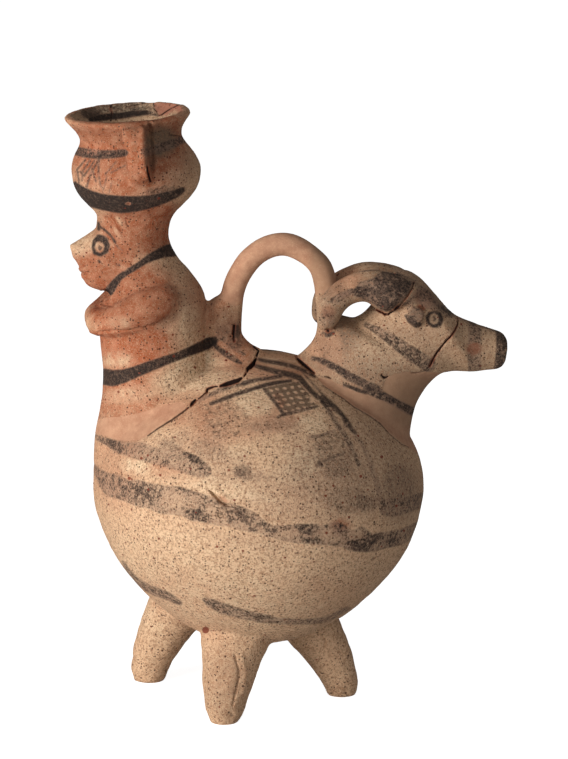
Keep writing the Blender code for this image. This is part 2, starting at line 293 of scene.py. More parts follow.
class NodeTool(NodeBench):
    """A Geometry Nodes tree that is built, run on an object once and left out of the result."""

    def __init__(self, name: str) -> None:
        """Start an empty tree with a geometry input and output.

        Args:
            name: The tree's name.
        """
        super().__init__(bpy.data.node_groups.new(name, "GeometryNodeTree"))
        self.tree.is_modifier = True
        face = self.tree.interface
        face.new_socket("Geometry", in_out="INPUT", socket_type="NodeSocketGeometry")
        face.new_socket("Geometry", in_out="OUTPUT", socket_type="NodeSocketGeometry")
        self.source = self.tree.nodes.new("NodeGroupInput")
        self.target = self.tree.nodes.new("NodeGroupOutput")

    def size(self, name: str, default: float, whole: bool = False) -> Amount:
        """Add a named number to the tree's inputs.

        Args:
            name: The input's name.
            default: Its usual value.
            whole: Whether it is a whole number.

        Returns:
            The number inside the tree.
        """
        kind = "NodeSocketInt" if whole else "NodeSocketFloat"
        item = self.tree.interface.new_socket(name, in_out="INPUT", socket_type=kind)
        item.default_value = int(default) if whole else default
        return Amount(self, self.source.outputs[name])

    def material(self) -> NodeSocket:
        """Add a material to the tree's inputs.

        Returns:
            The socket that carries it.
        """
        face = self.tree.interface
        face.new_socket("Material", in_out="INPUT", socket_type="NodeSocketMaterial")
        return self.source.outputs["Material"]

    def node(self, kind: str, settings: dict | None = None, **inputs: object) -> Node:
        """Add a node.

        Args:
            kind: The node's type.
            settings: Its properties.
            inputs: Sockets or values for its inputs, by name with _ for a space.

        Returns:
            The node.
        """
        made = self.tree.nodes.new(kind)
        for key, value in (settings or {}).items():
            setattr(made, key, value)
        for key, value in inputs.items():
            self.feed(made.inputs[key.replace("_", " ")], value)
        return made

    def finish(self, geometry: NodeSocket, material: NodeSocket) -> None:
        """End the tree in real geometry with its material set.

        Args:
            geometry: What the tree made.
            material: Its material.
        """
        real = self.node("GeometryNodeRealizeInstances", Geometry=geometry)
        dressed = self.node("GeometryNodeSetMaterial", Geometry=real.outputs[0], Material=material)
        self.feed(self.target.inputs[0], dressed.outputs[0])

    def run(self, piece: Object, **values: object) -> Object:
        """Run the tree on an object and return the plain mesh object that it gives.

        Args:
            piece: The object.
            values: The tree's inputs, by name with _ for a space.

        Returns:
            The result.
        """
        modifier = piece.modifiers.new(self.tree.name, "NODES")
        modifier.node_group = self.tree
        for item in self.tree.interface.items_tree:
            key = item.name.replace(" ", "_")
            if item.in_out == "INPUT" and key in values:
                modifier[item.identifier] = values[key]
        return settle(piece)


class Workshop:
    """Tools that give raw clay forms, in mm from the globe's axis."""

    def __init__(self) -> None:
        """Make the roller and the wheel."""
        self.raw = bpy.data.materials.new("raw_clay")
        self.roller = self.make_roller()
        self.wheel = self.make_wheel()

    def make_roller(self) -> NodeTool:
        """A tree that gives a path its round body: for arms, horns, legs and the handle.

        Returns:
            The tree.
        """
        tool = NodeTool("clay_roll")
        sides = tool.size("Sides", 20, whole=True)
        material = tool.material()
        ring = tool.node("GeometryNodeCurvePrimitiveCircle", Resolution=sides, Radius=MM)
        body = tool.node(
            "GeometryNodeCurveToMesh",
            Curve=tool.source.outputs["Geometry"],
            Profile_Curve=ring.outputs[0],
            Fill_Caps=True,
        )
        if "Scale" in body.inputs:
            radius = tool.node("GeometryNodeInputRadius")
            tool.feed(body.inputs["Scale"], radius.outputs[0])
        tool.finish(body.outputs[0], material)
        return tool

    def make_wheel(self) -> NodeTool:
        """A tree that gives the thrown globe from its radius, rise, drop, slack and wall.

        Returns:
            The tree.
        """
        tool = NodeTool("thrown_globe")
        radius = tool.size("Radius", 79.1)
        rise = tool.size("Rise", 61.5)
        drop = tool.size("Drop", 79.4)
        slack_above = tool.size("Slack Above", 0.026)
        slack_below = tool.size("Slack Below", 0.037)
        wall = tool.size("Wall", 0.0)
        material = tool.material()
        ball = tool.node("GeometryNodeMeshUVSphere", Segments=128, Rings=96, Radius=1.0)
        place = tool.node("GeometryNodeInputPosition")
        split = tool.node("ShaderNodeSeparateXYZ", Vector=place.outputs[0])
        up = Amount(tool, split.outputs[2])
        over = tool.math("GREATER_THAN", up, 0.0)
        under = 1.0 - over
        square = up * up
        spread = square * (1.0 - square)
        fullness = 1.0 - (over * slack_above + under * slack_below) * 4.0 * spread
        reach = over * rise + under * drop
        out = radius * fullness - wall
        height = reach * fullness - wall
        spot = tool.node("ShaderNodeCombineXYZ")
        for index, scale in enumerate((out, out, height)):
            tool.feed(spot.inputs[index], scale * split.outputs[index] * MM)
        shaped = tool.node("GeometryNodeSetPosition", Geometry=ball.outputs[0], Position=spot.outputs[0])
        tool.finish(shaped.outputs[0], material)
        return tool

    def rolled(self, name: str, points: list, thicknesses: list, sides: int = 24) -> Object:
        """A roll of clay along a smooth line.

        Args:
            name: The form's name.
            points: Points of the line.
            thicknesses: The roll's thickness at each point.
            sides: How many sides the roll has.

        Returns:
            The roll as a closed mesh object.
        """
        rows = smooth_rows([(*point, width) for point, width in zip(points, thicknesses)])
        curve = bpy.data.curves.new(name, "CURVE")
        curve.dimensions = "3D"
        spline = curve.splines.new("POLY")
        spline.points.add(len(rows) - 1)
        for knot, (x, y, z, width) in zip(spline.points, rows):
            knot.co = ((x + AXIS_IN_FRAME) * MM, y * MM, z * MM, 1.0)
            knot.radius = width / 2
        path = bpy.data.objects.new(name, curve)
        bpy.context.scene.collection.objects.link(path)
        roll = self.roller.run(path, Sides=sides, Material=self.raw)
        self.close(roll.data)
        return roll

    def close(self, mesh: Mesh) -> None:
        """Merge doubled points and turn all faces outwards.

        Args:
            mesh: The mesh.
        """
        with opened(mesh) as form:
            bmesh.ops.remove_doubles(form, verts=form.verts, dist=0.01 * MM)
            bmesh.ops.recalc_face_normals(form, faces=form.faces)

    def lofted(self, name: str, ribs: list, wall: float = 0.0, sides: int = 72) -> Object:
        """A body through elliptical ribs.

        Args:
            name: The form's name.
            ribs: For each rib its first and last (x, z), its half width and its side.
            wall: How much each rib is pulled in.
            sides: How many sides the body has.

        Returns:
            The body as a closed mesh object.
        """
        rows = [(*first, *last, half_width, side) for first, last, half_width, side in ribs]
        mesh = bpy.data.meshes.new(name)
        rings = []
        with opened(mesh) as form:
            for x0, z0, x1, z1, half_width, side in smooth_rows(rows):
                middle = Vector(((x0 + x1) / 2 + AXIS_IN_FRAME, side, (z0 + z1) / 2))
                arm = Vector(((x0 - x1) / 2, 0.0, (z0 - z1) / 2))
                arm *= max(arm.length - wall, 1.0) / arm.length
                across = Vector((0.0, max(half_width - wall, 1.0), 0.0))
                ring = []
                for index in range(sides):
                    turn = 2 * math.pi * index / sides
                    spot = middle + arm * math.cos(turn) + across * math.sin(turn)
                    ring.append(form.verts.new(spot * MM))
                rings.append(ring)
            for lower, upper in zip(rings, rings[1:]):
                for index in range(sides):
                    after = (index + 1) % sides
                    form.faces.new((lower[index], lower[after], upper[after], upper[index]))
            form.faces.new(rings[0])
            form.faces.new(rings[-1])
            bmesh.ops.recalc_face_normals(form, faces=form.faces)
        return add_object(name, mesh)

    def turned(self, name: str, profile: list, turns: int = 128) -> Object:
        """A body turned about the globe's axis.

        Args:
            name: The form's name.
            profile: (radius, height) pairs from its top to its bottom.
            turns: How many steps the turn has.

        Returns:
            The body as a mesh object.
        """
        mesh = bpy.data.meshes.new(name)
        points = [(radius * MM, 0.0, height * MM) for radius, height in profile]
        edges = [(index, index + 1) for index in range(len(points) - 1)]
        mesh.from_pydata(points, edges, [])
        piece = add_object(name, mesh)
        screw = piece.modifiers.new("Turn", "SCREW")
        screw.axis = "Z"
        screw.steps = turns
        screw.render_steps = turns
        screw.use_merge_vertices = True
        screw.merge_threshold = 0.00001
        piece = settle(piece)
        for point in piece.data.vertices:
            point.co.x += AXIS_IN_FRAME * MM
        return piece

    def fused(self, name: str, pieces: list, grain: float, rounds: int) -> Object:
        """Work overlapping bodies into one skin, as wet clay is.

        Args:
            name: The result's name.
            pieces: The bodies.
            grain: The size of the skin's faces in mm.
            rounds: How often the skin is wiped smooth.

        Returns:
            The skin as a closed mesh object.
        """
        mesh = bpy.data.meshes.new(name)
        with opened(mesh) as form:
            for piece in pieces:
                form.from_mesh(piece.data)
                bpy.data.objects.remove(piece)
        skin = add_object(name, mesh)
        remesh = skin.modifiers.new("Fuse", "REMESH")
        remesh.mode = "VOXEL"
        remesh.voxel_size = grain * MM
        soften = skin.modifiers.new("Soften", "SMOOTH")
        soften.factor = 0.5
        soften.iterations = rounds
        return settle(skin)


@dataclass
class Globe:
    """The wheel-thrown globe, tipped a little towards the ram."""

    axis: float = 0.4
    centre: float = 110.0
    radius: float = 79.1
    rise: float = 61.5
    drop: float = 79.4
    slack_above: float = 0.026
    slack_below: float = 0.037
    tilt: float = math.radians(3.9)

    def body(self, shop: Workshop, wall: float = 0.0) -> Object:
        """Throw the globe, or with a wall its inside.

        Args:
            shop: The workshop's tools.
            wall: How far the form is pulled in, or 0 for its outside.

        Returns:
            The globe.
        """
        blank = add_object("globe", bpy.data.meshes.new("globe"))
        ball = shop.wheel.run(
            blank,
            Radius=self.radius,
            Rise=self.rise,
            Drop=self.drop,
            Slack_Above=self.slack_above,
            Slack_Below=self.slack_below,
            Wall=wall,
            Material=shop.raw,
        )
        tip = Matrix.Rotation(self.tilt, 3, "Y")
        middle = Vector((self.axis + AXIS_IN_FRAME, 0.0, self.centre)) * MM
        for point in ball.data.vertices:
            point.co = tip @ point.co + middle
        return ball


@dataclass
class Woman:
    """Skirt, waist, shoulders, neck and head in one column, with a pinched face and arms."""

    axis: float = -50.0
    foot: float = 120.0
    height: float = 123.0
    arm_thickness: float = 14.0
    ribs: tuple = (
        (0.0, -0.233, 0.325, 0.244), (0.12, -0.221, 0.293, 0.236), (0.24, -0.198, 0.244, 0.215),
        (0.37, -0.189, 0.215, 0.207), (0.5, -0.199, 0.203, 0.211), (0.59, -0.2, 0.203, 0.215),
        (0.66, -0.19, 0.203, 0.195), (0.74, -0.192, 0.157, 0.159), (0.81, -0.206, 0.103, 0.15),
        (0.89, -0.21, 0.068, 0.151), (1.0, -0.205, 0.082, 0.156),
    )
    face_ribs: tuple = (
        ((-0.14, 0.96), (-0.12, 0.67), 0.13), ((-0.21, 0.925), (-0.2, 0.685), 0.105),
        ((-0.25, 0.9), (-0.25, 0.708), 0.062), ((-0.285, 0.88), (-0.278, 0.778), 0.034),
        ((-0.309, 0.865), (-0.305, 0.82), 0.02),
    )
    arm_line: tuple = (
        (0.065, 0.14, 0.7, 0.7), (0.03, 0.17, 0.675, 1.12), (-0.035, 0.178, 0.645, 1.32),
        (-0.105, 0.16, 0.612, 1.2), (-0.165, 0.118, 0.585, 1.0), (-0.205, 0.06, 0.574, 0.86),
        (-0.215, 0.0, 0.571, 0.8),
    )

    def spot(self, along: float, up: float) -> tuple:
        """A point in the middle plane given in shares of her height."""
        return self.axis + along * self.height, self.foot + up * self.height

    def column(self, shop: Workshop, wall: float = 0.0) -> Object:
        """Her body, or with a wall its inside.

        Args:
            shop: The workshop's tools.
            wall: How far the form is pulled in, or 0 for its outside.

        Returns:
            The column.
        """
        ribs = []
        for up, front, back, half_width in self.ribs:
            ribs.append((self.spot(front, up), self.spot(back, up), half_width * self.height, 0.0))
        return shop.lofted("woman", ribs, wall)

    def forms(self, shop: Workshop) -> list:
        """Body, face and both arms.

        Args:
            shop: The workshop's tools.

        Returns:
            The forms.
        """
        ribs = []
        for upper, lower, half_width in self.face_ribs:
            ribs.append((self.spot(*upper), self.spot(*lower), half_width * self.height, 0.0))
        made = [self.column(shop), shop.lofted("face", ribs, sides=48)]
        for side in (-1, 1):
            points = []
            for along, out, up, _ in self.arm_line:
                x, z = self.spot(along, up)
                points.append((x, side * out * self.height, z))
            widths = [width * self.arm_thickness for *_, width in self.arm_line]
            made.append(shop.rolled("arm", points, widths))
        return made


@dataclass
class Jar:
    """The two-handled jar on her head, slumped to the front."""

    axis: float = -57.4
    foot: float = 241.03
    radius: float = 30.2
    height: float = 47.6
    lean: float = math.radians(3.0)
    sway: float = 0.035
    slump: float = 0.10
    bend: float = 0.42
    wall: float = 4.2
    strap_width: float = 10.6
    strap_thickness: float = 5.0
    profile: tuple = (
        (1.0, 0.955), (0.975, 0.98), (0.94, 0.94), (0.86, 0.84), (0.77, 0.785), (0.69, 0.815), (0.6, 0.91),
        (0.5, 0.98), (0.4, 1.0), (0.3, 0.975), (0.2, 0.89), (0.1, 0.755), (0.0, 0.61), (-0.12, 0.53),
    )
    strap_line: tuple = (
        (0.93, 0.86), (0.955, 0.99), (0.85, 1.09), (0.7, 1.13), (0.55, 1.11), (0.42, 1.0), (0.36, 0.88),
    )

    def outline(self, wall: float = 0.0) -> list:
        """The jar's outline, lip to foot; with a wall, that of its inside below the lip.

        Args:
            wall: How far the form is pulled in, or 0 for its outside.

        Returns:
            Pairs of radius and height.
        """
        shares = smooth_rows(self.profile, 5)
        line = np.column_stack((shares[:, 1] * self.radius, shares[:, 0] * self.height))
        slope = np.gradient(line, axis=0)
        steepness = np.abs(slope[:, 1]) / np.linalg.norm(slope, axis=1)
        line[:, 0] -= wall / np.maximum(steepness, 0.7)
        if wall:
            line = line[shares[:, 0] < 0.95]
        return [tuple(point) for point in line]

    def place(self, piece: Object) -> Object:
        """Stand a piece of the jar on the head.

        Args:
            piece: The piece, made about the globe's axis.

        Returns:
            The same piece.
        """
        bend = self.bend * self.height
        foot = Vector((self.axis, 0.0, self.foot))
        for point in piece.data.vertices:
            spot = point.co / MM
            spot.x -= AXIS_IN_FRAME
            spot.x += self.sway * min(spot.z, bend)
            height = spot.z - bend
            share = min(max(spot.z / bend, 0.0), 1.0)
            lean = Matrix.Rotation(-self.lean * share, 3, "Y")
            spot = lean @ Vector((spot.x, spot.y, height))
            spot += foot + Vector((-self.slump * max(height, 0.0), 0.0, bend))
            spot.x += AXIS_IN_FRAME
            point.co = spot * MM
        return piece

    def forms(self, shop: Workshop) -> list:
        """The jar, still filled, and its two strap handles.

        Args:
            shop: The workshop's tools.

        Returns:
            The forms.
        """
        outline = [(0.0, self.height)] + self.outline() + [(0.0, -0.12 * self.height)]
        made = [self.place(shop.turned("jar", outline))]
        for side in (-1, 1):
            ribs = []
            for height, out in self.strap_line:
                z = height * self.height
                half = self.strap_width / 2
                ribs.append(((half, z), (-half, z), self.strap_thickness / 2, side * out * self.radius))
            made.append(self.place(shop.lofted("strap_handle", ribs, sides=32)))
        return made

    def cup(self, shop: Workshop) -> Object:
        """The inside of the jar, carried up past the lip.

        Args:
            shop: The workshop's tools.

        Returns:
            The inside as a body.
        """
        inside = self.outline(self.wall)
        mouth = self.radius * self.profile[1][1] - 0.8 * self.wall
        top = 1.2 * self.height
        outline = [(0.0, top), (mouth, top), (mouth, self.height)] + inside + [(0.0, inside[-1][1])]
        return self.place(shop.turned("jar_cup", outline))


@dataclass
class Ram:
    """The ram's neck and head, its curled horns, ear stumps and eye pellets."""

    chest: tuple = (45.0, 0.0, 125.0)
    length: float = 96.0
    horn_thickness: float = 14.0
    far_horn_drop: float = 3.5
    eye: float = 6.0
    spout: float = 7.0
    spout_height: float = 0.474
    with_channel: int = 12
    ribs: tuple = (
        ((-0.47, 0.16), (0.26, -0.34), 0.31), ((-0.32, 0.42), (0.285, -0.13), 0.3),
        ((-0.24, 0.485), (0.288, 0.03), 0.285), ((-0.18, 0.56), (0.315, 0.19), 0.27),
        ((-0.158, 0.64), (0.362, 0.286), 0.255), ((-0.09, 0.67), (0.413, 0.346), 0.245),
        ((0.01, 0.65), (0.455, 0.374), 0.23), ((0.089, 0.708), (0.49, 0.378), 0.21),
        ((0.156, 0.815), (0.521, 0.378), 0.193), ((0.245, 0.89), (0.547, 0.375), 0.188),
        ((0.33, 0.86), (0.573, 0.373), 0.182), ((0.41, 0.775), (0.594, 0.372), 0.167),
        ((0.505, 0.665), (0.625, 0.372), 0.135), ((0.62, 0.613), (0.667, 0.376), 0.115),
        ((0.745, 0.567), (0.72, 0.378), 0.094), ((0.78, 0.526), (0.755, 0.395), 0.078),
    )
    horn_line: tuple = (
        (0.32, 0.075, 0.735, 0.85), (0.245, 0.115, 0.8, 1.1), (0.165, 0.125, 0.812, 1.35),
        (0.08, 0.112, 0.838, 1.15), (0.01, 0.112, 0.832, 1.0), (-0.055, 0.122, 0.808, 0.94),
        (-0.103, 0.136, 0.768, 0.91), (-0.125, 0.148, 0.732, 0.88), (-0.142, 0.16, 0.668, 0.68),
        (-0.139, 0.162, 0.632, 0.4),
    )

    def spot(self, along: float, up: float, side: float = 0.0) -> Vector:
        """A point given in shares of the ram's length from its chest."""
        return Vector(self.chest) + self.length * Vector((along, side, up))

    def column(self, shop: Workshop, wall: float = 0.0) -> Object:
        """Neck and head, or with a wall their inside.

        Args:
            shop: The workshop's tools.
            wall: How far the form is pulled in, or 0 for its outside.

        Returns:
            The column.
        """
        ribs = self.ribs[:self.with_channel] if wall else self.ribs
        rows = []
        for first, last, half_width in ribs:
            upper, lower = self.spot(*first), self.spot(*last)
            rows.append(((upper.x, upper.z), (lower.x, lower.z), half_width * self.length, 0.0))
        return shop.lofted("ram", rows, wall)

    def forms(self, shop: Workshop) -> list:
        """Neck and head, horns, ears and eyes.

        Args:
            shop: The workshop's tools.

        Returns:
            The forms.
        """
        made = [self.column(shop)]
        for side in (-1, 1):
            points = [self.spot(along, up, side * out) for along, out, up, _ in self.horn_line]
            if side > 0:
                for index, point in enumerate(points):
                    droop = self.far_horn_drop * index / len(points)
                    point += Vector((0.4 * droop, 0.0, -droop))
            widths = [width * self.horn_thickness for *_, width in self.horn_line]
            made.append(shop.rolled("horn", points, widths))
            ear = (self.spot(0.285, 0.675, side * 0.13), self.spot(0.295, 0.71, side * 0.225))
            made.append(shop.rolled("ear", ear, (11.0, 8.5)))
            eye = (self.spot(0.375, 0.68, side * 0.09), self.spot(0.385, 0.69, side * 0.178))
            made.append(shop.rolled("eye", eye, (self.eye, self.eye)))
        return made

    def bore(self, shop: Workshop) -> Object:
        """The bore from the head out through the muzzle."""
        points = [self.spot(along, self.spout_height) for along in (0.46, 0.65, 0.84)]
        return shop.rolled("spout_bore", points, (self.spout,) * 3)


@dataclass
class BasketHandle:
    """The round handle over the globe, on the stump of the first one."""

    thickness: float = 11.0
    span: float = 47.0
    rise: float = 39.3
    spring: tuple = (-13.1, 185.0)
    line: tuple = (
        (0.0, -0.15), (0.025, 0.36), (0.12, 0.68), (0.29, 0.91), (0.51, 1.0), (0.7, 0.94), (0.89, 0.76),
        (0.965, 0.55), (0.99, 0.3), (1.0, 0.02),
    )
    stump: tuple = (
        ((-1.75, -2.0), (1.95, -1.65), 1.55), ((-1.6, -1.2), (1.45, -1.1), 1.05),
        ((-1.3, -0.55), (0.62, -0.5), 0.7), ((-1.2, 0.25), (0.48, 0.3), 0.62),
        ((-1.02, 1.0), (0.52, 1.0), 0.57), ((-0.42, 1.4), (0.58, 1.35), 0.53),
    )

    def forms(self, shop: Workshop) -> list:
        """The handle and its stump.

        Args:
            shop: The workshop's tools.

        Returns:
            The forms.
        """
        x0, z0 = self.spring
        points = [(x0 + along * self.span, 0.0, z0 + up * self.rise) for along, up in self.line]
        made = [shop.rolled("basket_handle", points, (self.thickness,) * len(points))]
        ribs = []
        for first, last, half_width in self.stump:
            ends = [(x0 + along * self.thickness, z0 + up * self.thickness) for along, up in (first, last)]
            ribs.append((*ends, half_width * self.thickness, 0.0))
        made.append(shop.lofted("handle_stump", ribs, sides=48))
        return made


@dataclass
class Legs:
    """Three short legs that splay from the underside of the globe."""

    root_height: float = 62.0
    stances: tuple = (
        ((42.0, 5.0), (9.0, 0.0), 15.4, 0.92), ((-19.3, -31.5), (-8.0, -18.0), 16.2, 1.16),
        ((-50.5, 38.5), (-25.0, 20.0), 17.0, 0.78),
    )
    line: tuple = (
        (-0.04, 0.0, 0.62), (0.01, 0.0, 0.86), (0.05, 0.02, 1.02), (0.12, 0.05, 1.16), (0.28, 0.16, 1.38),
        (0.48, 0.36, 1.66), (0.7, 0.62, 1.98), (1.0, 1.0, 2.05),
    )

    def forms(self, shop: Workshop) -> list:
        """The three legs.

        Args:
            shop: The workshop's tools.

        Returns:
            The forms.
        """
        made = []
        for foot, root, thickness, flare in self.stances:
            foot = Vector((*foot, 0.0))
            splay = Vector((*root, 0.0)) - foot
            points = []
            widths = []
            for up, drift, share in self.line:
                points.append(foot + splay * drift + Vector((0.0, 0.0, up * self.root_height)))
                widths.append(thickness * (1 + (share - 1) * (flare if share > 1 else 1)))
            made.append(shop.rolled("leg", points, widths, 32))
        return made


@dataclass(frozen=True)
class FrontView:
    """The front view on which marks are placed: 568 units wide, 759 high, from its top left."""

    turn: float = math.radians(-6.0)
    lift: float = math.radians(13.5)
    distance: float = 2000.0
    lens: float = 200.0
    middle: tuple = (13.0, 0.0, 158.5)
    width: float = 568.0
    height: float = 759.0

    def back(self) -> np.ndarray:
        """The direction from the vessel to the eye.

        Returns:
            A vector of length 1.
        """
        flat = math.cos(self.lift)
        turn = (math.sin(self.turn) * flat, -math.cos(self.turn) * flat, math.sin(self.lift))
        return np.array(turn)

    def eye(self) -> np.ndarray:
        """Where the eye is, in mm."""
        return np.array(self.middle) + self.back() * self.distance

    def grid(self, points: np.ndarray) -> np.ndarray:
        """Where points in mm lie on the view.

        Args:
            points: One row for each point.

        Returns:
            Across and down of each.
        """
        right = np.array((math.cos(self.turn), math.sin(self.turn), 0.0))
        up = np.cross(self.back(), right)
        ray = points - self.eye()
        depth = -(ray @ self.back())
        scale = self.lens / 36.0 * self.height
        across = self.width / 2 + scale * (ray @ right) / depth
        down = self.height / 2 - scale * (ray @ up) / depth
        return np.column_stack((across, down))


class Side(Enum):
    """Which surfaces a mark is on."""

    BOTH = "both sides alike"
    NEAR = "near side only"
    FAR = "far side only"
    INSIDE = "inside the jar"


@dataclass(frozen=True)
class Stroke:
    """A line of paint or a crack: (across, down, half width) points on the front view."""

    points: tuple
    strength: float = 0.8
    side: Side = Side.BOTH

    def cover(self, grid: np.ndarray) -> np.ndarray:
        """How far inside the stroke each grid point is, in view units; negative outside.

        Args:
            grid: Points on the front view.

        Returns:
            The depths.
        """
        best = np.full(len(grid), FAR_OUTSIDE)
        for (u0, v0, w0), (u1, v1, w1) in zip(self.points, self.points[1:]):
            along = np.array((u1 - u0, v1 - v0))
            offset = grid - (u0, v0)
            share = np.clip(offset @ along / max(along @ along, 1e-9), 0.0, 1.0)
            distance = np.linalg.norm(offset - share[:, None] * along, axis=1)
            best = np.maximum(best, w0 + share * (w1 - w0) - distance)
        return best


@dataclass(frozen=True)
class Field:
    """An area with a clear edge, given by its corners on the front view."""

    corners: tuple
    strength: float = 0.8
    side: Side = Side.BOTH

    def cover(self, grid: np.ndarray) -> np.ndarray:
        """How far inside the area each grid point is, in view units; negative outside.

        Args:
            grid: Points on the front view.

        Returns:
            The depths.
        """
        nearest = np.full(len(grid), 1e9)
        within = np.zeros(len(grid), dtype=bool)
        for (u0, v0), (u1, v1) in zip(self.corners, self.corners[1:] + self.corners[:1]):
            along = np.array((u1 - u0, v1 - v0))
            offset = grid - (u0, v0)
            share = np.clip(offset @ along / (along @ along), 0.0, 1.0)
            nearest = np.minimum(nearest, np.linalg.norm(offset - share[:, None] * along, axis=1))
            if v0 != v1:
                crossed = (grid[:, 1] < v0) != (grid[:, 1] < v1)
                within ^= crossed & (grid[:, 0] < u0 + (grid[:, 1] - v0) * (u1 - u0) / (v1 - v0))
        return np.where(within, nearest, -nearest)


@dataclass(frozen=True)
class Blotch:
    """A soft patch on the front view, with its centre, half sizes, turn and strength."""

    across: float
    down: float
    half_width: float
    half_height: float
    strength: float = 1.0
    turn: float = 0.0
    side: Side = Side.BOTH

    def cover(self, grid: np.ndarray) -> np.ndarray:
        """How strong the patch is at each grid point.

        Args:
            grid: Points on the front view.

        Returns:
            The strengths.
        """
        offset = grid - (self.across, self.down)
        turn = math.radians(self.turn)
        u = offset[:, 0] * math.cos(turn) + offset[:, 1] * math.sin(turn)
        v = -offset[:, 0] * math.sin(turn) + offset[:, 1] * math.cos(turn)
        distance = np.hypot(u / self.half_width, v / self.half_height)
        return self.strength * (1 - ramp(distance, 0.55, 1.25))


def grouped(numbers: tuple, size: int) -> tuple:
    """The numbers in groups of a size."""
    return tuple(tuple(numbers[first:first + size]) for first in range(0, len(numbers), size))


def strokes(*rows: tuple, side: Side = Side.BOTH) -> tuple:
    """Strokes from rows: strength, then across, down and half width of each point."""
    return tuple(Stroke(grouped(row[1:], 3), row[0], side) for row in rows)


def fields(*rows: tuple, side: Side = Side.BOTH) -> tuple:
    """Fields from rows: strength, then across and down of each corner."""
    return tuple(Field(grouped(row[1:], 2), row[0], side) for row in rows)


def blotches(*rows: tuple, side: Side = Side.BOTH) -> tuple:
    """Blotches from rows: centre across and down, half width, half height, strength and turn."""
    return tuple(Blotch(*row, side=side) for row in rows)


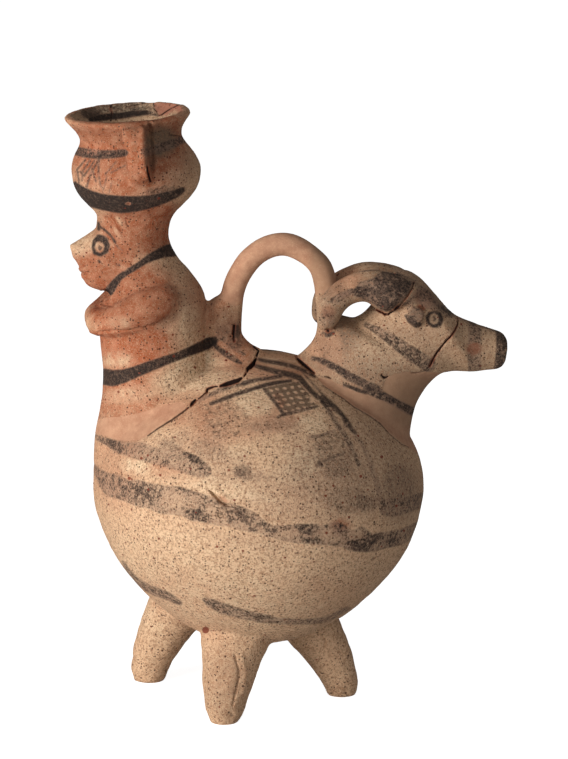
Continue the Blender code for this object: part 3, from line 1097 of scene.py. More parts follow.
PAINT = (
    # Jar: shoulder band, zigzag, wide band and the bands inside the neck
    *strokes(
        (0.72, 76, 150.5, 4.4, 84, 152.2, 4.8, 97, 153.8, 4.8, 112, 153.6, 4.2, 124, 152, 3.6),
        (0.55, 145, 151, 4.6, 156, 148.5, 5, 168, 144.5, 4.8, 182, 139, 4),
        (0.66, 84.5, 159, 0.8, 76, 169, 0.9, 78, 180, 0.8, 77, 187, 0.7),
        (0.6, 89, 159, 0.8, 82, 170, 0.9, 81, 180, 0.7),
        (0.66, 93.5, 160, 0.9, 83, 175.5, 1, 79.5, 171, 0.8),
        (0.66, 98, 159, 1, 90, 172, 1, 86, 186, 0.9),
        (0.62, 91, 168, 0.9, 95, 181, 0.9),
        (0.56, 98, 159, 1.3, 97.5, 173, 1.1, 100, 186, 0.8),
        (0.52, 115, 161, 0.8, 104, 174, 0.9),
        (0.52, 124, 165, 0.8, 110, 172, 0.8),
        (0.5, 106, 176, 0.9, 102, 190, 0.8),
        (0.45, 111, 180, 0.8, 108, 193, 0.7),
        (0.95, 74, 184, 3, 80, 192, 6.5, 92, 199, 8, 105, 202, 8.2, 120, 204, 8.8, 134, 203.5, 8),
        (0.8, 134, 203.5, 8, 150, 201, 6.8, 163, 197, 5.8, 175, 193, 4.4, 182, 189, 3),
    ),
    *strokes(
        (0.96, 90, 118.5, 2.6, 104, 116.2, 3.6, 118, 115, 3.2, 132, 112.8, 3.4, 146, 111.8, 2.6),
        (0.6, 146, 111.8, 2.6, 153, 113, 2, 157, 115, 1),
        (0.5, 87, 108, 1.8, 91, 109, 2),
        (0.5, 101.5, 105, 1, 103, 109, 1.4),
        (0.6, 131, 104.5, 1.4, 134.5, 108.5, 2.2),
        side=Side.INSIDE,
    ),
    # Woman: eye, brow, neck band and belt
    *strokes(
        (
            0.88, 98.5, 237, 3.4, 103.5, 239, 3.4, 106.4, 245, 2.7, 104.8, 251, 2.4, 99.5, 254.4, 1.7, 94,
            252.3, 2, 92, 247, 1.5, 93.6, 240.5, 2, 98.5, 237, 3.4,
        ),
        (0.9, 98.6, 246.2, 0.9, 100.4, 247.4, 0.9, 99, 249, 0.9, 97.8, 247.6, 0.8),
        (0.9, 97.5, 222.5, 1.4, 97.9, 228.5, 1.6),
        (0.86, 98.5, 225.6, 1, 105.7, 231, 1.1, 110.8, 236.2, 1, 114, 241.4, 1.4),
        (0.5, 115, 243.5, 0.9, 117.2, 247, 0.8, 121.7, 249.6, 0.7),
        (0.86, 98, 260.4, 1.1, 98.9, 261.6, 1.1),
        (0.6, 116, 264.2, 0.9, 120.5, 264.8, 0.9),
        (
            0.84, 103.5, 297.5, 2.4, 108.6, 290.3, 4.7, 113.4, 283.3, 4.1, 118.5, 277, 3.1, 125.5, 271.9, 3,
            133.8, 267.1, 3.1, 140.5, 262.7, 2.9, 149.7, 256.9, 4.2, 160, 252.5, 5.2, 168, 250, 6.4, 176,
            249, 6.4,
        ),
        (0.84, 101, 376, 8.2, 112, 377.8, 8.3, 122, 376, 7, 135, 371.5, 5.8, 150, 365.5, 5.4),
        (0.76, 150, 365.5, 5.4, 165, 360, 4.6, 178, 355.5, 4.2, 190, 350.5, 4.6),
        (0.95, 190, 350.5, 4.6, 200, 346.5, 5.2, 208, 342.5, 5.6, 213.5, 340.5, 4),
        (0.66, 214.4, 345.8, 2, 222.8, 352, 2.9, 233.6, 358.8, 2.8, 240.5, 363, 1.6),
        (0.46, 216.7, 336.6, 2.2, 222.8, 338, 2.8, 229, 344.3, 2.6, 235, 348.8, 2.2, 243.5, 354, 1.6),
    ),
    # Globe: upper, main and short band, and the bands near the legs
    *fields(
        (
            0.42, 84, 428, 96.3, 434.6, 116.4, 440.3, 127.9, 442, 141.7, 441.5, 154.3, 447.2, 170.4, 448.4,
            187.6, 451.8, 199, 456.4, 210.5, 466.7, 211.7, 475.9, 200.2, 478.2, 188.7, 474.8, 175, 470.2,
            163.5, 466.7, 149.7, 463.3, 138.2, 459.9, 127.9, 456.4, 116.4, 453, 104.9, 444.9, 98, 441.5, 84,
            437,
        ),
        (
            0.46, 84, 458, 93.4, 463.3, 98, 467.9, 107.2, 472.5, 119.9, 474.8, 127.9, 480.5, 138.2, 479.4,
            149.7, 482.8, 163.5, 485.1, 179.6, 486.3, 193.3, 490.8, 208.3, 495.4, 222, 502, 239, 505, 256,
            513, 270, 525.5, 290.4, 524.5, 296.5, 523.5, 316, 523.5, 319, 525.5, 335.3, 521.4, 343.5, 523.5,
            351.6, 530.6, 361.8, 525.5, 372, 533.7, 382.2, 531.6, 397.6, 529.6, 405.7, 526.5, 430, 516, 430,
            530, 409.8, 540.8, 397.6, 546, 387.3, 548, 370, 552, 359.8, 552, 349.6, 551, 341.4, 547, 327,
            545, 310.8, 543.9, 296.5, 543.4, 270, 537.8, 256.5, 533.3, 239.3, 529.9, 227.8, 526.4, 214,
            525.3, 200.2, 521.8, 189.9, 520.7, 179.6, 515, 158.9, 513.8, 147.4, 508.1, 133.6, 505.8, 124.4,
            501.2, 113, 497.7, 104.9, 495.4, 99.2, 487.4, 94.6, 475.9, 84, 467,
        ),
        (0.46, 377, 499, 387.3, 498, 402.7, 497, 432, 489, 432, 503, 410.8, 512, 392.4, 517.3, 380, 515),
    ),
    *strokes(
        (
            0.52, 122, 562, 1.6, 130, 574.5, 2.3, 139, 583.5, 3.2, 152, 590.5, 4.2, 166, 595.5, 4.2, 180,
            603.5, 2.4,
        ),
        (
            0.52, 203, 599, 2, 210, 603, 4.6, 222, 608.5, 5.4, 240, 613.5, 5, 256, 617.5, 4.6, 269, 619.5,
            4.2,
        ),
        (0.46, 269, 619.8, 3.4, 285, 621.5, 3.2, 305, 622, 3, 327, 619.5, 3, 348, 608, 2.4),
        # Panel: its double outline
        (
            0.66, 257.3, 358.8, 1.6, 266.5, 361, 2, 278, 362.6, 2.1, 289.4, 365, 2.1, 300, 368.6, 2.1, 314,
            376, 1.6,
        ),
        (
            0.7, 253.5, 365, 1.8, 261, 367.2, 2.2, 269, 369.5, 2.6, 278, 371.8, 2.9, 289, 374.2, 3, 298.6,
            377, 3,
        ),
        (0.74, 298.6, 377, 3, 304.5, 384, 2.6, 312, 392.2, 2.4, 320.6, 399.5, 2.4, 326.4, 406.5, 2.4),
        (
            0.5, 326.4, 406.5, 2.4, 331.2, 415, 2.3, 336, 423.6, 2.4, 343, 432.5, 2.6, 350, 445, 2.8, 358,
            464, 2.8,
        ),
        (0.7, 322, 395, 1.5, 331.6, 403.6, 2.3, 340.2, 413, 2.5, 348, 423.6, 2.5, 353.5, 431.5, 2.3),
        (
            0.42, 353.5, 431.5, 2.1, 362.2, 444.6, 2.4, 368, 455, 2.8, 373, 472.4, 3.2, 377, 484, 3.4, 380,
            499, 3.4,
        ),
        (0.5, 300, 369.6, 1, 312, 383, 1.1, 322.5, 395, 1.2),
        (0.66, 242.7, 383.3, 2.6, 248.9, 381, 2.2, 256.5, 379.5, 1.9, 268, 378, 1.9, 280, 375.8, 2),
        (0.52, 199, 399.5, 1.8, 213, 392.8, 1.9, 222.8, 388.9, 2, 233.6, 385.9, 1.8, 242, 383.6, 2),
        (0.7, 210, 403.5, 1.8, 225.9, 397.4, 2.2, 235, 394, 2.1, 245, 390.8, 2, 256.5, 387.1, 2),
        (0.78, 256.5, 387.1, 2, 266.5, 384.2, 2.2, 276, 382.3, 2, 290, 380.5, 1.6),
        (0.66, 263.4, 388.5, 1.6, 273, 400, 1.8, 282.6, 413.2, 2),
        (0.62, 277, 417, 1.4, 284, 414, 2, 300, 410.4, 1.6, 316.5, 406, 1.4),
        (0.46, 309, 437, 1.8, 322, 435, 2, 334, 430.5, 1.6),
        (0.48, 318, 463.5, 2.4, 332, 457, 2.2, 344, 452.5, 1.8),
        # Ram: neck bands, brow, muzzle and eye
        (0.7, 312, 358, 2.2, 321.6, 360.4, 3.2, 331, 365, 3.6, 339.7, 370, 4, 347.4, 374.8, 4.4),
        (0.62, 347.4, 375.5, 4.4, 357, 380, 4.6, 366, 384.5, 4.2, 378, 388.5, 3.4),
        (0.8, 343.5, 384.3, 1.2, 350, 386.8, 1.8, 357, 389.6, 2, 366, 392.6, 1.4),
        (0.8, 366, 386.2, 1.2, 372, 387.4, 1.7, 378.5, 388.6, 1),
        (0.66, 366, 389, 3.6, 374.2, 392.4, 4.4, 385.7, 397.4, 4.6, 398.1, 404, 4.8, 416, 413, 5.2),
        (
            0.54, 366, 324.5, 2.6, 376, 329.5, 4, 388, 337, 5.6, 401.6, 346.8, 6.8, 415, 356, 7.8, 428, 364,
            7.6,
        ),
        (0.5, 441, 306.5, 3.4, 454, 313, 3.4, 468, 319, 3.4, 482, 324.5, 2.2, 499, 330, 2.4),
        (0.48, 475, 321, 6.6, 474.5, 334, 7, 474, 350, 7, 474.5, 371, 6.6),
        (0.64, 501.5, 329, 6, 502.5, 345, 6.4, 500.5, 367, 6.4),
        (
            0.86, 434, 311.4, 1.4, 439, 313.4, 2, 441, 319, 2.3, 438.4, 325, 2.3, 433, 325.8, 1.6, 428.4,
            323, 1.4, 427, 317, 1.7, 429.4, 312.8, 1.5, 434, 311.4, 1.4,
        ),
        (0.85, 433.6, 316.4, 1.1, 435, 318.6, 1.1, 433.6, 320, 0.9),
    ),
    *fields(
        (
            0.4, 416, 284.6, 425, 284.6, 432, 293, 440, 303, 450, 311, 456, 316, 450, 318, 443, 315, 439,
            310, 431, 309, 425, 308, 418, 303, 408, 305, 402, 305, 410, 295, 416, 289,
        ),
    ),
    *strokes(
        (0.72, 405.5, 315, 1.6, 410, 319.5, 3.6, 416, 324, 3.6, 419.5, 324, 2),
        (0.4, 411, 309, 4.6, 419, 314, 5.4, 416, 320, 4.6),
    ),
    # Horns
    *fields(
        (
            0.6, 353.9, 288.7, 359, 281.5, 371.2, 278.5, 381.4, 270.3, 397.8, 272.3, 408, 279.5, 412, 283.6,
            408, 293.8, 401.8, 299.9, 396.7, 304, 391.6, 310.1, 385.5, 311.1, 376.3, 306, 371.2, 301.9,
            363.1, 298.9, 354.9, 295.8, 350.8, 293.8, 343.7, 298.9, 336.5, 303, 328.4, 301.9, 330.4, 297.9,
            340.6, 291.8, 350.8, 287.7,
        ),
        side=Side.NEAR,
    ),
    *strokes(
        (0.5, 362, 270, 1.4, 375, 268.2, 1.8, 390, 269, 1.8, 402, 274.5, 1.8, 412, 283, 2.4),
        side=Side.NEAR,
    ),
    *strokes(
        (0.28, 364, 266, 4, 380, 265.5, 5, 398, 270, 5.4, 414, 282, 5),
        (0.66, 322, 333, 2, 327, 335.5, 2.5, 333, 332.4, 1.6),
    ),
)

DENSE = blotches(
    (144, 492, 18, 10, 0.55, 14), (126, 488, 8, 9, 0.4), (106, 480, 12, 11, 0.2, 20),
    (198, 516, 15, 7, 0.85, 24), (236, 514, 22, 7, 0.35, 16), (186, 490, 16, 3.5, 0.5, 14),
    (307, 528, 11, 4, 0.95), (272, 531, 8, 4, 0.6), (316, 540, 12, 4, 0.5), (339, 530, 5, 6, 0.6),
    (359, 545, 14, 8, 0.95, 8), (374, 538, 6, 5, 0.9), (388, 540, 12, 8, 0.45), (191, 457, 13, 6, 0.8, 24),
    (201, 466, 9, 7, 0.5, 30), (110, 443, 14, 7, 0.8, 24), (378, 287, 16, 6, 0.7, 10),
    (388, 304, 10, 6, 0.6, 10), (357, 291, 8, 6, 0.6), (400, 288, 9, 9, 0.7), (424, 296, 6, 8, 0.5, 45),
    (445, 311, 9, 5, 0.6, 35), (406, 303, 6, 4, 0.7), (206, 343, 8, 7, 0.8), (235, 359, 6, 3, 0.5, 30),
    (120, 206, 18, 6, 0.7),
)

WORN = blotches(
    (176, 501, 20, 9, 0.34, 14), (218, 512, 12, 8, 0.4), (216, 522, 30, 4, 0.35, 14),
    (276, 534, 22, 6, 0.4), (330, 535, 12, 8, 0.5), (355, 535, 8, 8, 0.45), (127.3, 203.3, 3, 2.2, 1),
    (474, 348, 9, 8, 0.5), (343, 298, 16, 6, 0.35, -30), (368, 284, 8, 4, 0.5), (150, 151, 10, 10, 0.2),
    (96, 150, 20, 3, 0.2),
)

SMUDGES = (
    *blotches(
        (330, 476, 62, 40, 0.34), (222, 466, 44, 20, 0.3, 14), (372, 440, 40, 60, 0.26),
        (300, 505, 70, 22, 0.26, 6), (350, 360, 40, 30, 0.24), (400, 350, 50, 26, 0.22),
        (196, 300, 20, 40, 0.12), (242, 472, 13, 9, 0.58, 10), (258, 476, 20, 7, 0.4, 6),
        (238, 462, 9, 5, 0.34), (348, 500, 34, 18, 0.42), (366, 502, 16, 12, 0.5),
        (337, 468, 24, 14, 0.46, -14), (320, 463, 4, 3, 0.9), (268, 424, 26, 9, 0.36, -12),
        (290, 428, 12, 12, 0.3), (216, 434, 12, 10, 0.2), (234, 343, 11, 8, 0.5),
        (208, 450, 26, 15, 0.38, 20), (170, 446, 16, 8, 0.46, 16), (182, 436, 12, 8, 0.3),
        (222, 331, 9, 9, 0.42), (236, 331, 5, 9, 0.7), (172, 178, 18, 12, 0.16), (160, 190, 22, 6, 0.5, -8),
        (184, 166, 10, 16, 0.12), (398, 262, 26, 8, 0.3), (346, 386, 5, 3, 0.5),
        (325, 298, 12, 10, 0.3, -50), (326, 318, 10, 12, 0.4), (240, 540, 60, 6, 0.16, 10),
        (290, 486, 60, 10, 0.3, 8), (398, 490, 22, 34, 0.42),
    ),
    *blotches(
        (120, 107, 46, 9, 0.55), (90, 112, 14, 8, 0.7),
        side=Side.INSIDE,
    ),
)

WARMTH = blotches(
    (223, 499, 6, 2.4, 0.5, 40), (126, 140, 70, 70, 0.9), (140, 225, 50, 34, 0.95), (96, 275, 34, 30, 1),
    (130, 300, 54, 44, 1), (128, 345, 50, 36, 1), (205, 300, 26, 40, 0.5), (118, 398, 50, 34, 0.66),
    (118, 256, 20, 16, 0.9), (185, 408, 46, 22, 0.4), (112, 450, 34, 60, 0.34), (215, 424, 34, 26, 0.32),
    (256, 425, 60, 14, 0.3, -12), (275, 402, 10, 10, 0.5, 40), (275, 366, 44, 16, 0.4),
    (232, 345, 26, 34, 0.62), (326, 350, 22, 26, 0.4), (344, 284, 22, 14, 0.5, -30), (328, 312, 8, 8, 0.75),
    (328, 331, 5, 3, 1), (168, 472, 26, 9, 0.4, 14), (175, 600, 60, 30, 0.2), (300, 600, 70, 24, 0.14),
    (474, 348, 8, 7, 1), (421, 307, 5, 4, 1), (424, 298, 12, 9, 0.7, 40), (340, 525, 10, 6, 0.6),
    (184, 625, 60, 20, 0.2),
)

# Grey ash-coloured clouds in the clay, and painted shade: darker patches where shadows fall, beside the
# jar's strap, under the arm, under the horns and on the ram's neck and muzzle.
ASH_AND_SHADE = (
    *blotches(
        (112, 245, 46, 44, 0.24), (126, 150, 66, 56, 0.16), (434, 318, 10, 10, 0.6),
        (385, 292, 34, 24, 0.9, 10), (338, 300, 20, 26, 0.6, -40), (430, 300, 20, 12, 0.7, 40),
        (416, 315, 9, 11, 0.8), (152, 148, 6, 26, 0.7), (228, 322, 16, 18, 0.6),
        (184, 290, 24, 44, 0.16, -22), (172, 165, 26, 24, 0.24), (160, 141, 19, 19, 1, -20),
        (145.5, 148, 2.6, 24, 0.6), (154, 132, 14, 16, 0.6, -20), (425, 331, 28, 11, 0.42, 10),
        (484, 358, 14, 12, 0.4), (166, 321, 18, 4.5, 0.6, -34), (334, 346, 20, 26, 0.5, -20),
        (120, 258, 16, 10, 0.3), (142, 300, 44, 46, 0.24), (318, 364, 22, 8, 0.6, 24),
        (345, 386, 32, 8, 0.55, 30), (404, 326, 42, 16, 0.42, 10), (346, 336, 9, 26, 0.8, -12),
        (224, 682, 24, 44, 0.34), (322, 268, 14, 34, 0.6), (120, 428, 46, 18, 0.16),
    ),
    *blotches(
        (105, 110, 44, 12, 0.7),
        side=Side.INSIDE,
    ),
    *blotches(
        (398, 490, 26, 40, 0.3), (110, 130, 50, 20, 0.25), (160, 250, 14, 10, 0.3), (455, 345, 46, 30, 0.3),
        (405, 283, 52, 30, 0.5, 20), (330, 314, 18, 24, 0.6), (385, 430, 34, 60, 0.16),
        (350, 345, 14, 40, 0.62, -14), (404, 396, 90, 34, 0.7, 30), (340, 470, 50, 50, 0.2),
    ),
)

# Pale clay and pale scratches, and painted light: lighter patches that lift the shade on the lower globe,
# below the belt and on the globe's shoulder where the woman's body shades it.
PALE_AND_LIT = (
    *blotches(
        (84, 247, 12, 9, 0.45, -30), (90.5, 244, 2.4, 6, 0.7, 15), (119, 220, 7, 2.6, 0.5, 52),
        (116, 232, 7, 2.2, 0.4, 56), (194, 364, 30, 13, 1, -14), (132, 394, 30, 9, 0.5, -8),
        (236, 600, 100, 34, 0.5, 4), (190, 325, 14, 24, 0.5), (284, 362, 30, 7, 0.5, 10),
        (303, 460, 22, 14, 0.6), (116, 360, 18, 9, 0.6), (118, 322, 14, 7, 0.34),
        (190, 378, 40, 18, 0.7, -12), (212, 370, 24, 14, 0.6), (256, 402, 22, 14, 0.8),
        (312, 422, 16, 12, 0.7), (240, 452, 16, 8, 0.5), (290, 468, 26, 14, 0.4),
        (134, 466, 16, 8, 0.9, 12), (220, 488, 60, 10, 0.55, 12), (170, 560, 70, 34, 0.4, 6),
        (286, 560, 60, 26, 0.25, 6), (376, 352, 30, 20, 0.3), (160, 640, 30, 30, 0.4),
    ),
    *blotches(
        (120, 108, 34, 6, 0.9), (136, 105, 14, 4, 0.9),
        side=Side.INSIDE,
    ),
    *blotches(
        (353.4, 270, 6, 2.6, 1, -20),
    ),
)

HANDLE_REPAIR = Field(
    grouped(
        (
            212, 297, 220.7, 298.8, 223, 302, 225.9, 300.7, 229, 303.7, 235, 306.8, 238, 304.5, 243, 303,
            252, 302, 300, 302, 322, 292, 338, 294, 347, 262, 300, 222, 212, 222,
        ),
        2,
    )
)
REPAIRS = fields(
    (
        0.8, 80, 420, 103, 417.7, 123.5, 415.7, 143.6, 411, 158, 406, 169, 403, 179, 401.5, 186, 404, 183,
        410, 168, 420, 154, 430, 145, 437, 138, 440, 124, 441.5, 98, 434, 80, 428,
    ),
    (
        0.8, 317, 377, 330, 379, 343, 386, 357, 392, 370, 396, 386, 401, 398, 407, 414, 416, 430, 424, 430,
        462, 408, 447, 400, 442, 389, 433, 380, 423, 368, 414.5, 353, 406, 343.6, 398.4, 333, 391.6, 322,
        384.4,
    ),
    (
        0.8, 387, 376, 396, 373, 407, 371, 420, 371.5, 437, 371.5, 444, 376, 430, 400, 424, 412, 412, 407,
        398, 400, 386, 393, 379, 387, 384, 381,
    ),
)
SHERD = Field(
    grouped(
        (
            152, 101, 178, 101, 192, 106, 190, 110, 170, 113, 158, 116, 154, 109,
        ),
        2,
    )
)

CRACKS = (
    # Between the woman's skirt and the globe
    *strokes(
        (1.8, 250.5, 343.5, 0.7, 255, 348, 0.8, 258, 350.4, 0.8, 256.5, 354.2, 0.9, 255, 358.8, 1.1),
        (3, 255, 358.8, 1.1, 252, 364, 1.8, 249.4, 366.6, 2.1, 247.3, 368.4, 1.7, 246.6, 371, 0.7),
        (1.6, 246.6, 371, 0.7, 243.5, 375.7, 0.6, 240.6, 378, 1),
        (3.2, 240.6, 378, 1.3, 237, 380, 2.1, 230, 382.4, 2.2, 225, 384, 1.8, 219.8, 385.6, 1),
        (1.6, 219.8, 385.6, 0.8, 214, 386.2, 0.6, 210.6, 387.2, 1, 206.8, 388.7, 1, 206, 391.7, 0.7),
        (1.2, 206, 391.7, 0.6, 202.2, 394.8, 0.5, 198.4, 397.9, 0.5, 194.5, 399.4, 0.9),
        (2, 194.5, 399.6, 1, 191.8, 402.4, 1.5, 190, 405, 0.9),
        (0.8, 189, 406, 0.7, 182.4, 411.7, 0.9, 172, 419, 0.9, 157, 428.4, 0.8, 147, 435.5, 0.6),
        # Between the ram's neck and the globe
        (2.6, 295.7, 357, 0.8, 299, 360, 1.3, 302.6, 363.4, 1.5, 308.2, 368, 1.1, 313.9, 372.8, 0.6),
        (0.8, 324.2, 375.8, 0.5, 327.5, 376.6, 0.6, 330.4, 378, 0.4),
        (0.7, 322.5, 385, 0.4, 333, 392.2, 0.5, 343.6, 398.9, 0.5, 353.1, 406.5, 0.5, 368.4, 415.1, 0.45),
        (0.7, 368.4, 415.1, 0.5, 380, 423.7, 0.6, 389.5, 434.3, 0.4, 401, 443.8, 0.4, 408, 446.8, 0.3),
        side=Side.NEAR,
    ),
    # Snout and horn
    *strokes(
        (
            1.7, 457.4, 317.5, 0.2, 457.4, 323.4, 0.4, 454.9, 329.5, 0.4, 450.8, 335.6, 0.5, 445.7, 340.7,
            0.6,
        ),
        (1.8, 445.7, 340.7, 0.6, 442, 345.6, 0.5, 437, 352, 0.7, 433, 358.5, 0.6, 429.5, 366, 0.5),
    ),
    *strokes(
        (0.8, 429, 366, 0.2, 424, 371, 0.2, 417.6, 372.2, 0.2, 411, 372.5, 0.2),
        (1.9, 413.6, 281.6, 0.4, 412, 287.7, 0.3, 408, 294.8, 0.2, 404.9, 298.9, 0.2, 400.8, 304, 0.3),
        (2.2, 400.8, 304, 0.3, 396.7, 307.4, 1.3, 393.7, 310.4, 0.5, 387.6, 313.8, 0.7),
        (1.8, 387.6, 313.8, 0.8, 384, 313.6, 0.8, 381.4, 312.1, 0.4, 375.3, 309.1, 0.2),
        # Stump, strap and jar
        (2, 233.8, 325, 0.9, 232.9, 333.6, 1, 233.6, 341, 0.5),
        (1.6, 146.2, 166, 0.6, 147, 172, 0.8, 149.6, 180.5, 0.9),
        side=Side.NEAR,
    ),
    *strokes(
        (1.4, 110.4, 103, 0.8, 109.6, 108, 0.8, 110.6, 113, 0.7, 109.8, 121.5, 0.7),
        (1, 124, 106.5, 0.5, 136, 104.2, 0.6, 145, 101.4, 0.6),
        (0.9, 160, 114.6, 0.6, 168, 109, 0.5, 178, 104, 0.5),
        (0.9, 152.5, 101, 0.6, 153.4, 108, 0.6, 158.5, 114.5, 0.8),
        side=Side.INSIDE,
    ),
    *strokes(
        (0.6, 168.5, 134.3, 0.4, 174.6, 134.8, 0.5, 179.6, 135.5, 0.4),
        (1, 381, 374.6, 0.5, 384, 377.6, 0.9, 387.5, 376, 0.5),
        (0.6, 371, 559.6, 0.6, 374.6, 557.4, 0.7),
        (0.5, 208.8, 490.6, 0.5, 213.6, 495.8, 0.8, 220.6, 502.2, 0.8, 228, 506.4, 0.4),
        (
            0.62, 217.4, 513, 0.5, 221.6, 512.8, 0.5, 222.6, 516.2, 0.5, 219.6, 518, 0.5, 217.2, 515.6, 0.5,
            217.4, 513, 0.5,
        ),
        (0.5, 213, 506, 0.3, 225.5, 510.4, 0.4, 238, 512.6, 0.4, 250.7, 517.3, 0.3),
        side=Side.NEAR,
    ),
    # Far side
    *strokes(
        (2.2, 250, 344, 1, 240, 372, 2, 215, 388, 1.6, 192, 404, 1, 160, 424, 0.6),
        (1.8, 296, 356, 1.4, 308, 368, 1.4, 325, 380, 0.7, 345, 398, 0.5),
        side=Side.FAR,
    ),
)

FOLDS = (
    *strokes(
        (2.2, 149.4, 123, 2.4, 149.8, 136, 3.6, 150.6, 152, 3.6, 151.6, 166, 2.6, 152.6, 176, 1.4),
        (4, 93.5, 302.6, 2.4, 98.8, 298.4, 4.8, 103.8, 294.6, 5.6),
    ),
    *strokes(
        (1.9, 209, 490.5, 0.8, 213.5, 495, 1.6, 219.5, 500.6, 2.3, 225, 504.6, 1.9, 229.5, 506.3, 0.8),
        side=Side.NEAR,
    ),
    *strokes(
        (1.4, 181, 292, 0.8, 176, 305, 1.3, 170, 315, 1.8, 160, 322, 1.9, 146, 327, 1.4),
        (0.9, 146, 327, 1.2, 128, 330, 1, 110, 331, 1, 98, 331, 1.2),
        (1.3, 90, 303.4, 0.8, 97, 303, 1.6, 104, 303.5, 1.8, 112, 305, 0.8),
        (0.6, 111, 215.5, 0.5, 114, 220.2, 0.6, 117.2, 226, 0.6, 121.5, 232, 0.5),
        (0.5, 124.5, 218, 0.5, 126.6, 224.5, 0.5),
        (1.2, 422.6, 305.5, 0.6, 425.4, 311.5, 1.2, 425, 318.2, 1.3, 420, 322.6, 0.8),
        (1, 80, 273, 0.6, 84, 272.6, 0.9, 88, 273, 0.5),
        (0.7, 80, 264.6, 0.6, 83.5, 265.6, 0.8),
    ),
    *strokes(
        (0.7, 234, 655, 0.9, 239, 672, 1.2, 236, 690, 1.2, 232, 706, 0.9),
        (0.7, 322, 635, 0.9, 325, 640, 1.1, 324, 648, 0.8),
        side=Side.NEAR,
    ),
    *strokes(
        (1, 102, 293.5, 0.6, 103, 296.5, 0.8),
    ),
)

PITS = (
    (99, 302.5, 2.2, 1), (110.2, 257.4, 1.3, 0.9), (98.4, 261, 1.3, 0.6), (219.7, 515, 2.6, 0.5),
    (230, 336, 1.6, 1), (262.8, 642.5, 1.4, 0.8), (394, 486.7, 1.2, 0.7), (168, 660, 2.6, 0.7),
    (150, 678, 3, 0.7), (231, 715, 3.4, 0.6), (345, 693, 2.6, 0.7), (331, 694, 2, 0.6), (414, 306, 2, 0.5),
    (323, 317, 2.6, 0.7), (327.5, 330.5, 3, 1.3), (380, 298, 2.4, 0.6), (366, 290, 2.4, 0.5),
    (392, 290, 2.6, 0.6), (401, 296, 2, 0.5), (498, 351, 1.2, 0.5), (127.3, 203.3, 2.4, 0.5),
    (198, 324, 1.4, 0.5),
)

LUMPS = (
    *strokes(
        (0.9, 132.4, 131, 4, 133, 138, 8, 134.6, 150, 9, 137, 166, 9, 139, 176, 6),
        (2, 140.4, 127.5, 2.2, 140.8, 132, 4.2, 141.2, 148, 4.6, 142.6, 164, 4.6, 145, 176, 3.4),
        (1.2, 86, 302.5, 2.4, 93, 302, 2.8, 99, 303, 2),
        (1.1, 91, 330, 3, 97, 331.5, 3.6, 101, 331, 2.4),
        (0.7, 112, 215, 2.2, 118, 220, 4.4, 124, 223, 2.4),
        (0.5, 116, 228, 2.6, 119, 236, 2.8, 121, 243, 2),
    ),
    *strokes(
        (0.6, 214, 488.5, 1.6, 222, 495.5, 2.2, 231, 502.5, 1.4),
        (0.7, 241, 655, 2.6, 245, 672, 3, 242, 692, 2.4),
        side=Side.NEAR,
    ),
    *strokes(
        (0.7, 352, 287, 4, 372, 281, 5, 392, 285, 5),
        (0.7, 386, 305, 4, 394, 300, 4.5, 402, 294, 3),
        (0.9, 79, 269.3, 1.2, 83, 269, 2, 87, 269.4, 1.6),
        (0.5, 71, 246.5, 3.6, 77, 247, 4),
        (0.7, 81, 276, 1.2, 85, 276.4, 2.2, 89, 277, 1.6),
    ),
)

INCLUSIONS = (
    (360.3, 476, 0.75), (325, 495.4, 0.65), (342.4, 502.6, 0.45), (367.4, 489.8, 0.5), (377, 523, 0.85),
    (396, 505.6, 0.6), (326, 532.7, 0.65), (381.2, 456.6, 0.7), (403.7, 530.6, 0.55), (128.5, 478, 0.75),
    (145.1, 600.5, 0.7), (216.3, 546.5, 0.65), (130.8, 509.2, 0.5), (243.9, 455.9, 0.6),
    (159.5, 474.8, 0.6), (204.9, 630, 1.6), (140.5, 458, 0.65), (147, 455, 0.55), (333, 333.5, 0.5),
    (461, 323.6, 0.5), (194, 367, 0.6), (203, 336, 0.55), (117.5, 391.5, 0.6), (104, 399, 0.6),
    (258, 407, 0.5),
)


@dataclass(frozen=True)
class Panel:
    """The painted panel on the globe's shoulder: nets of light spots between dark lines."""

    corner: tuple = (264.6, 388.0)
    along: tuple = (7.1, -1.1)
    down: tuple = (3.6, 5.2)
    nets: tuple = fields(
        (0.84, 262.5, 387.5, 298, 380, 317, 406.5, 283, 414.5),
        (0.42, 197, 403, 238, 397, 252, 414, 250, 424, 240, 438, 214, 442, 198, 420),
        (0.46, 309, 439, 319, 434, 330, 431, 340, 430, 348, 444, 354, 455, 338, 462, 320, 466),
        (0.36, 243, 417, 283, 415, 293, 410, 302, 425, 292, 431, 262, 434, 246, 430),
    )

    def spots(self, grid: np.ndarray) -> np.ndarray:
        """Each grid point's place in the net, along and down, in spots."""
        basis = np.array((self.along, self.down)).T
        return (grid - self.corner) @ np.linalg.inv(basis).T

    def strength(self, grid: np.ndarray) -> np.ndarray:
        """How well the net is preserved at each grid point.

        Args:
            grid: Points on the front view.

        Returns:
            The strengths.
        """
        total = np.zeros(len(grid))
        for net in self.nets:
            total = np.maximum(total, net.strength * ramp(net.cover(grid), -1.0, 1.5))
        return total


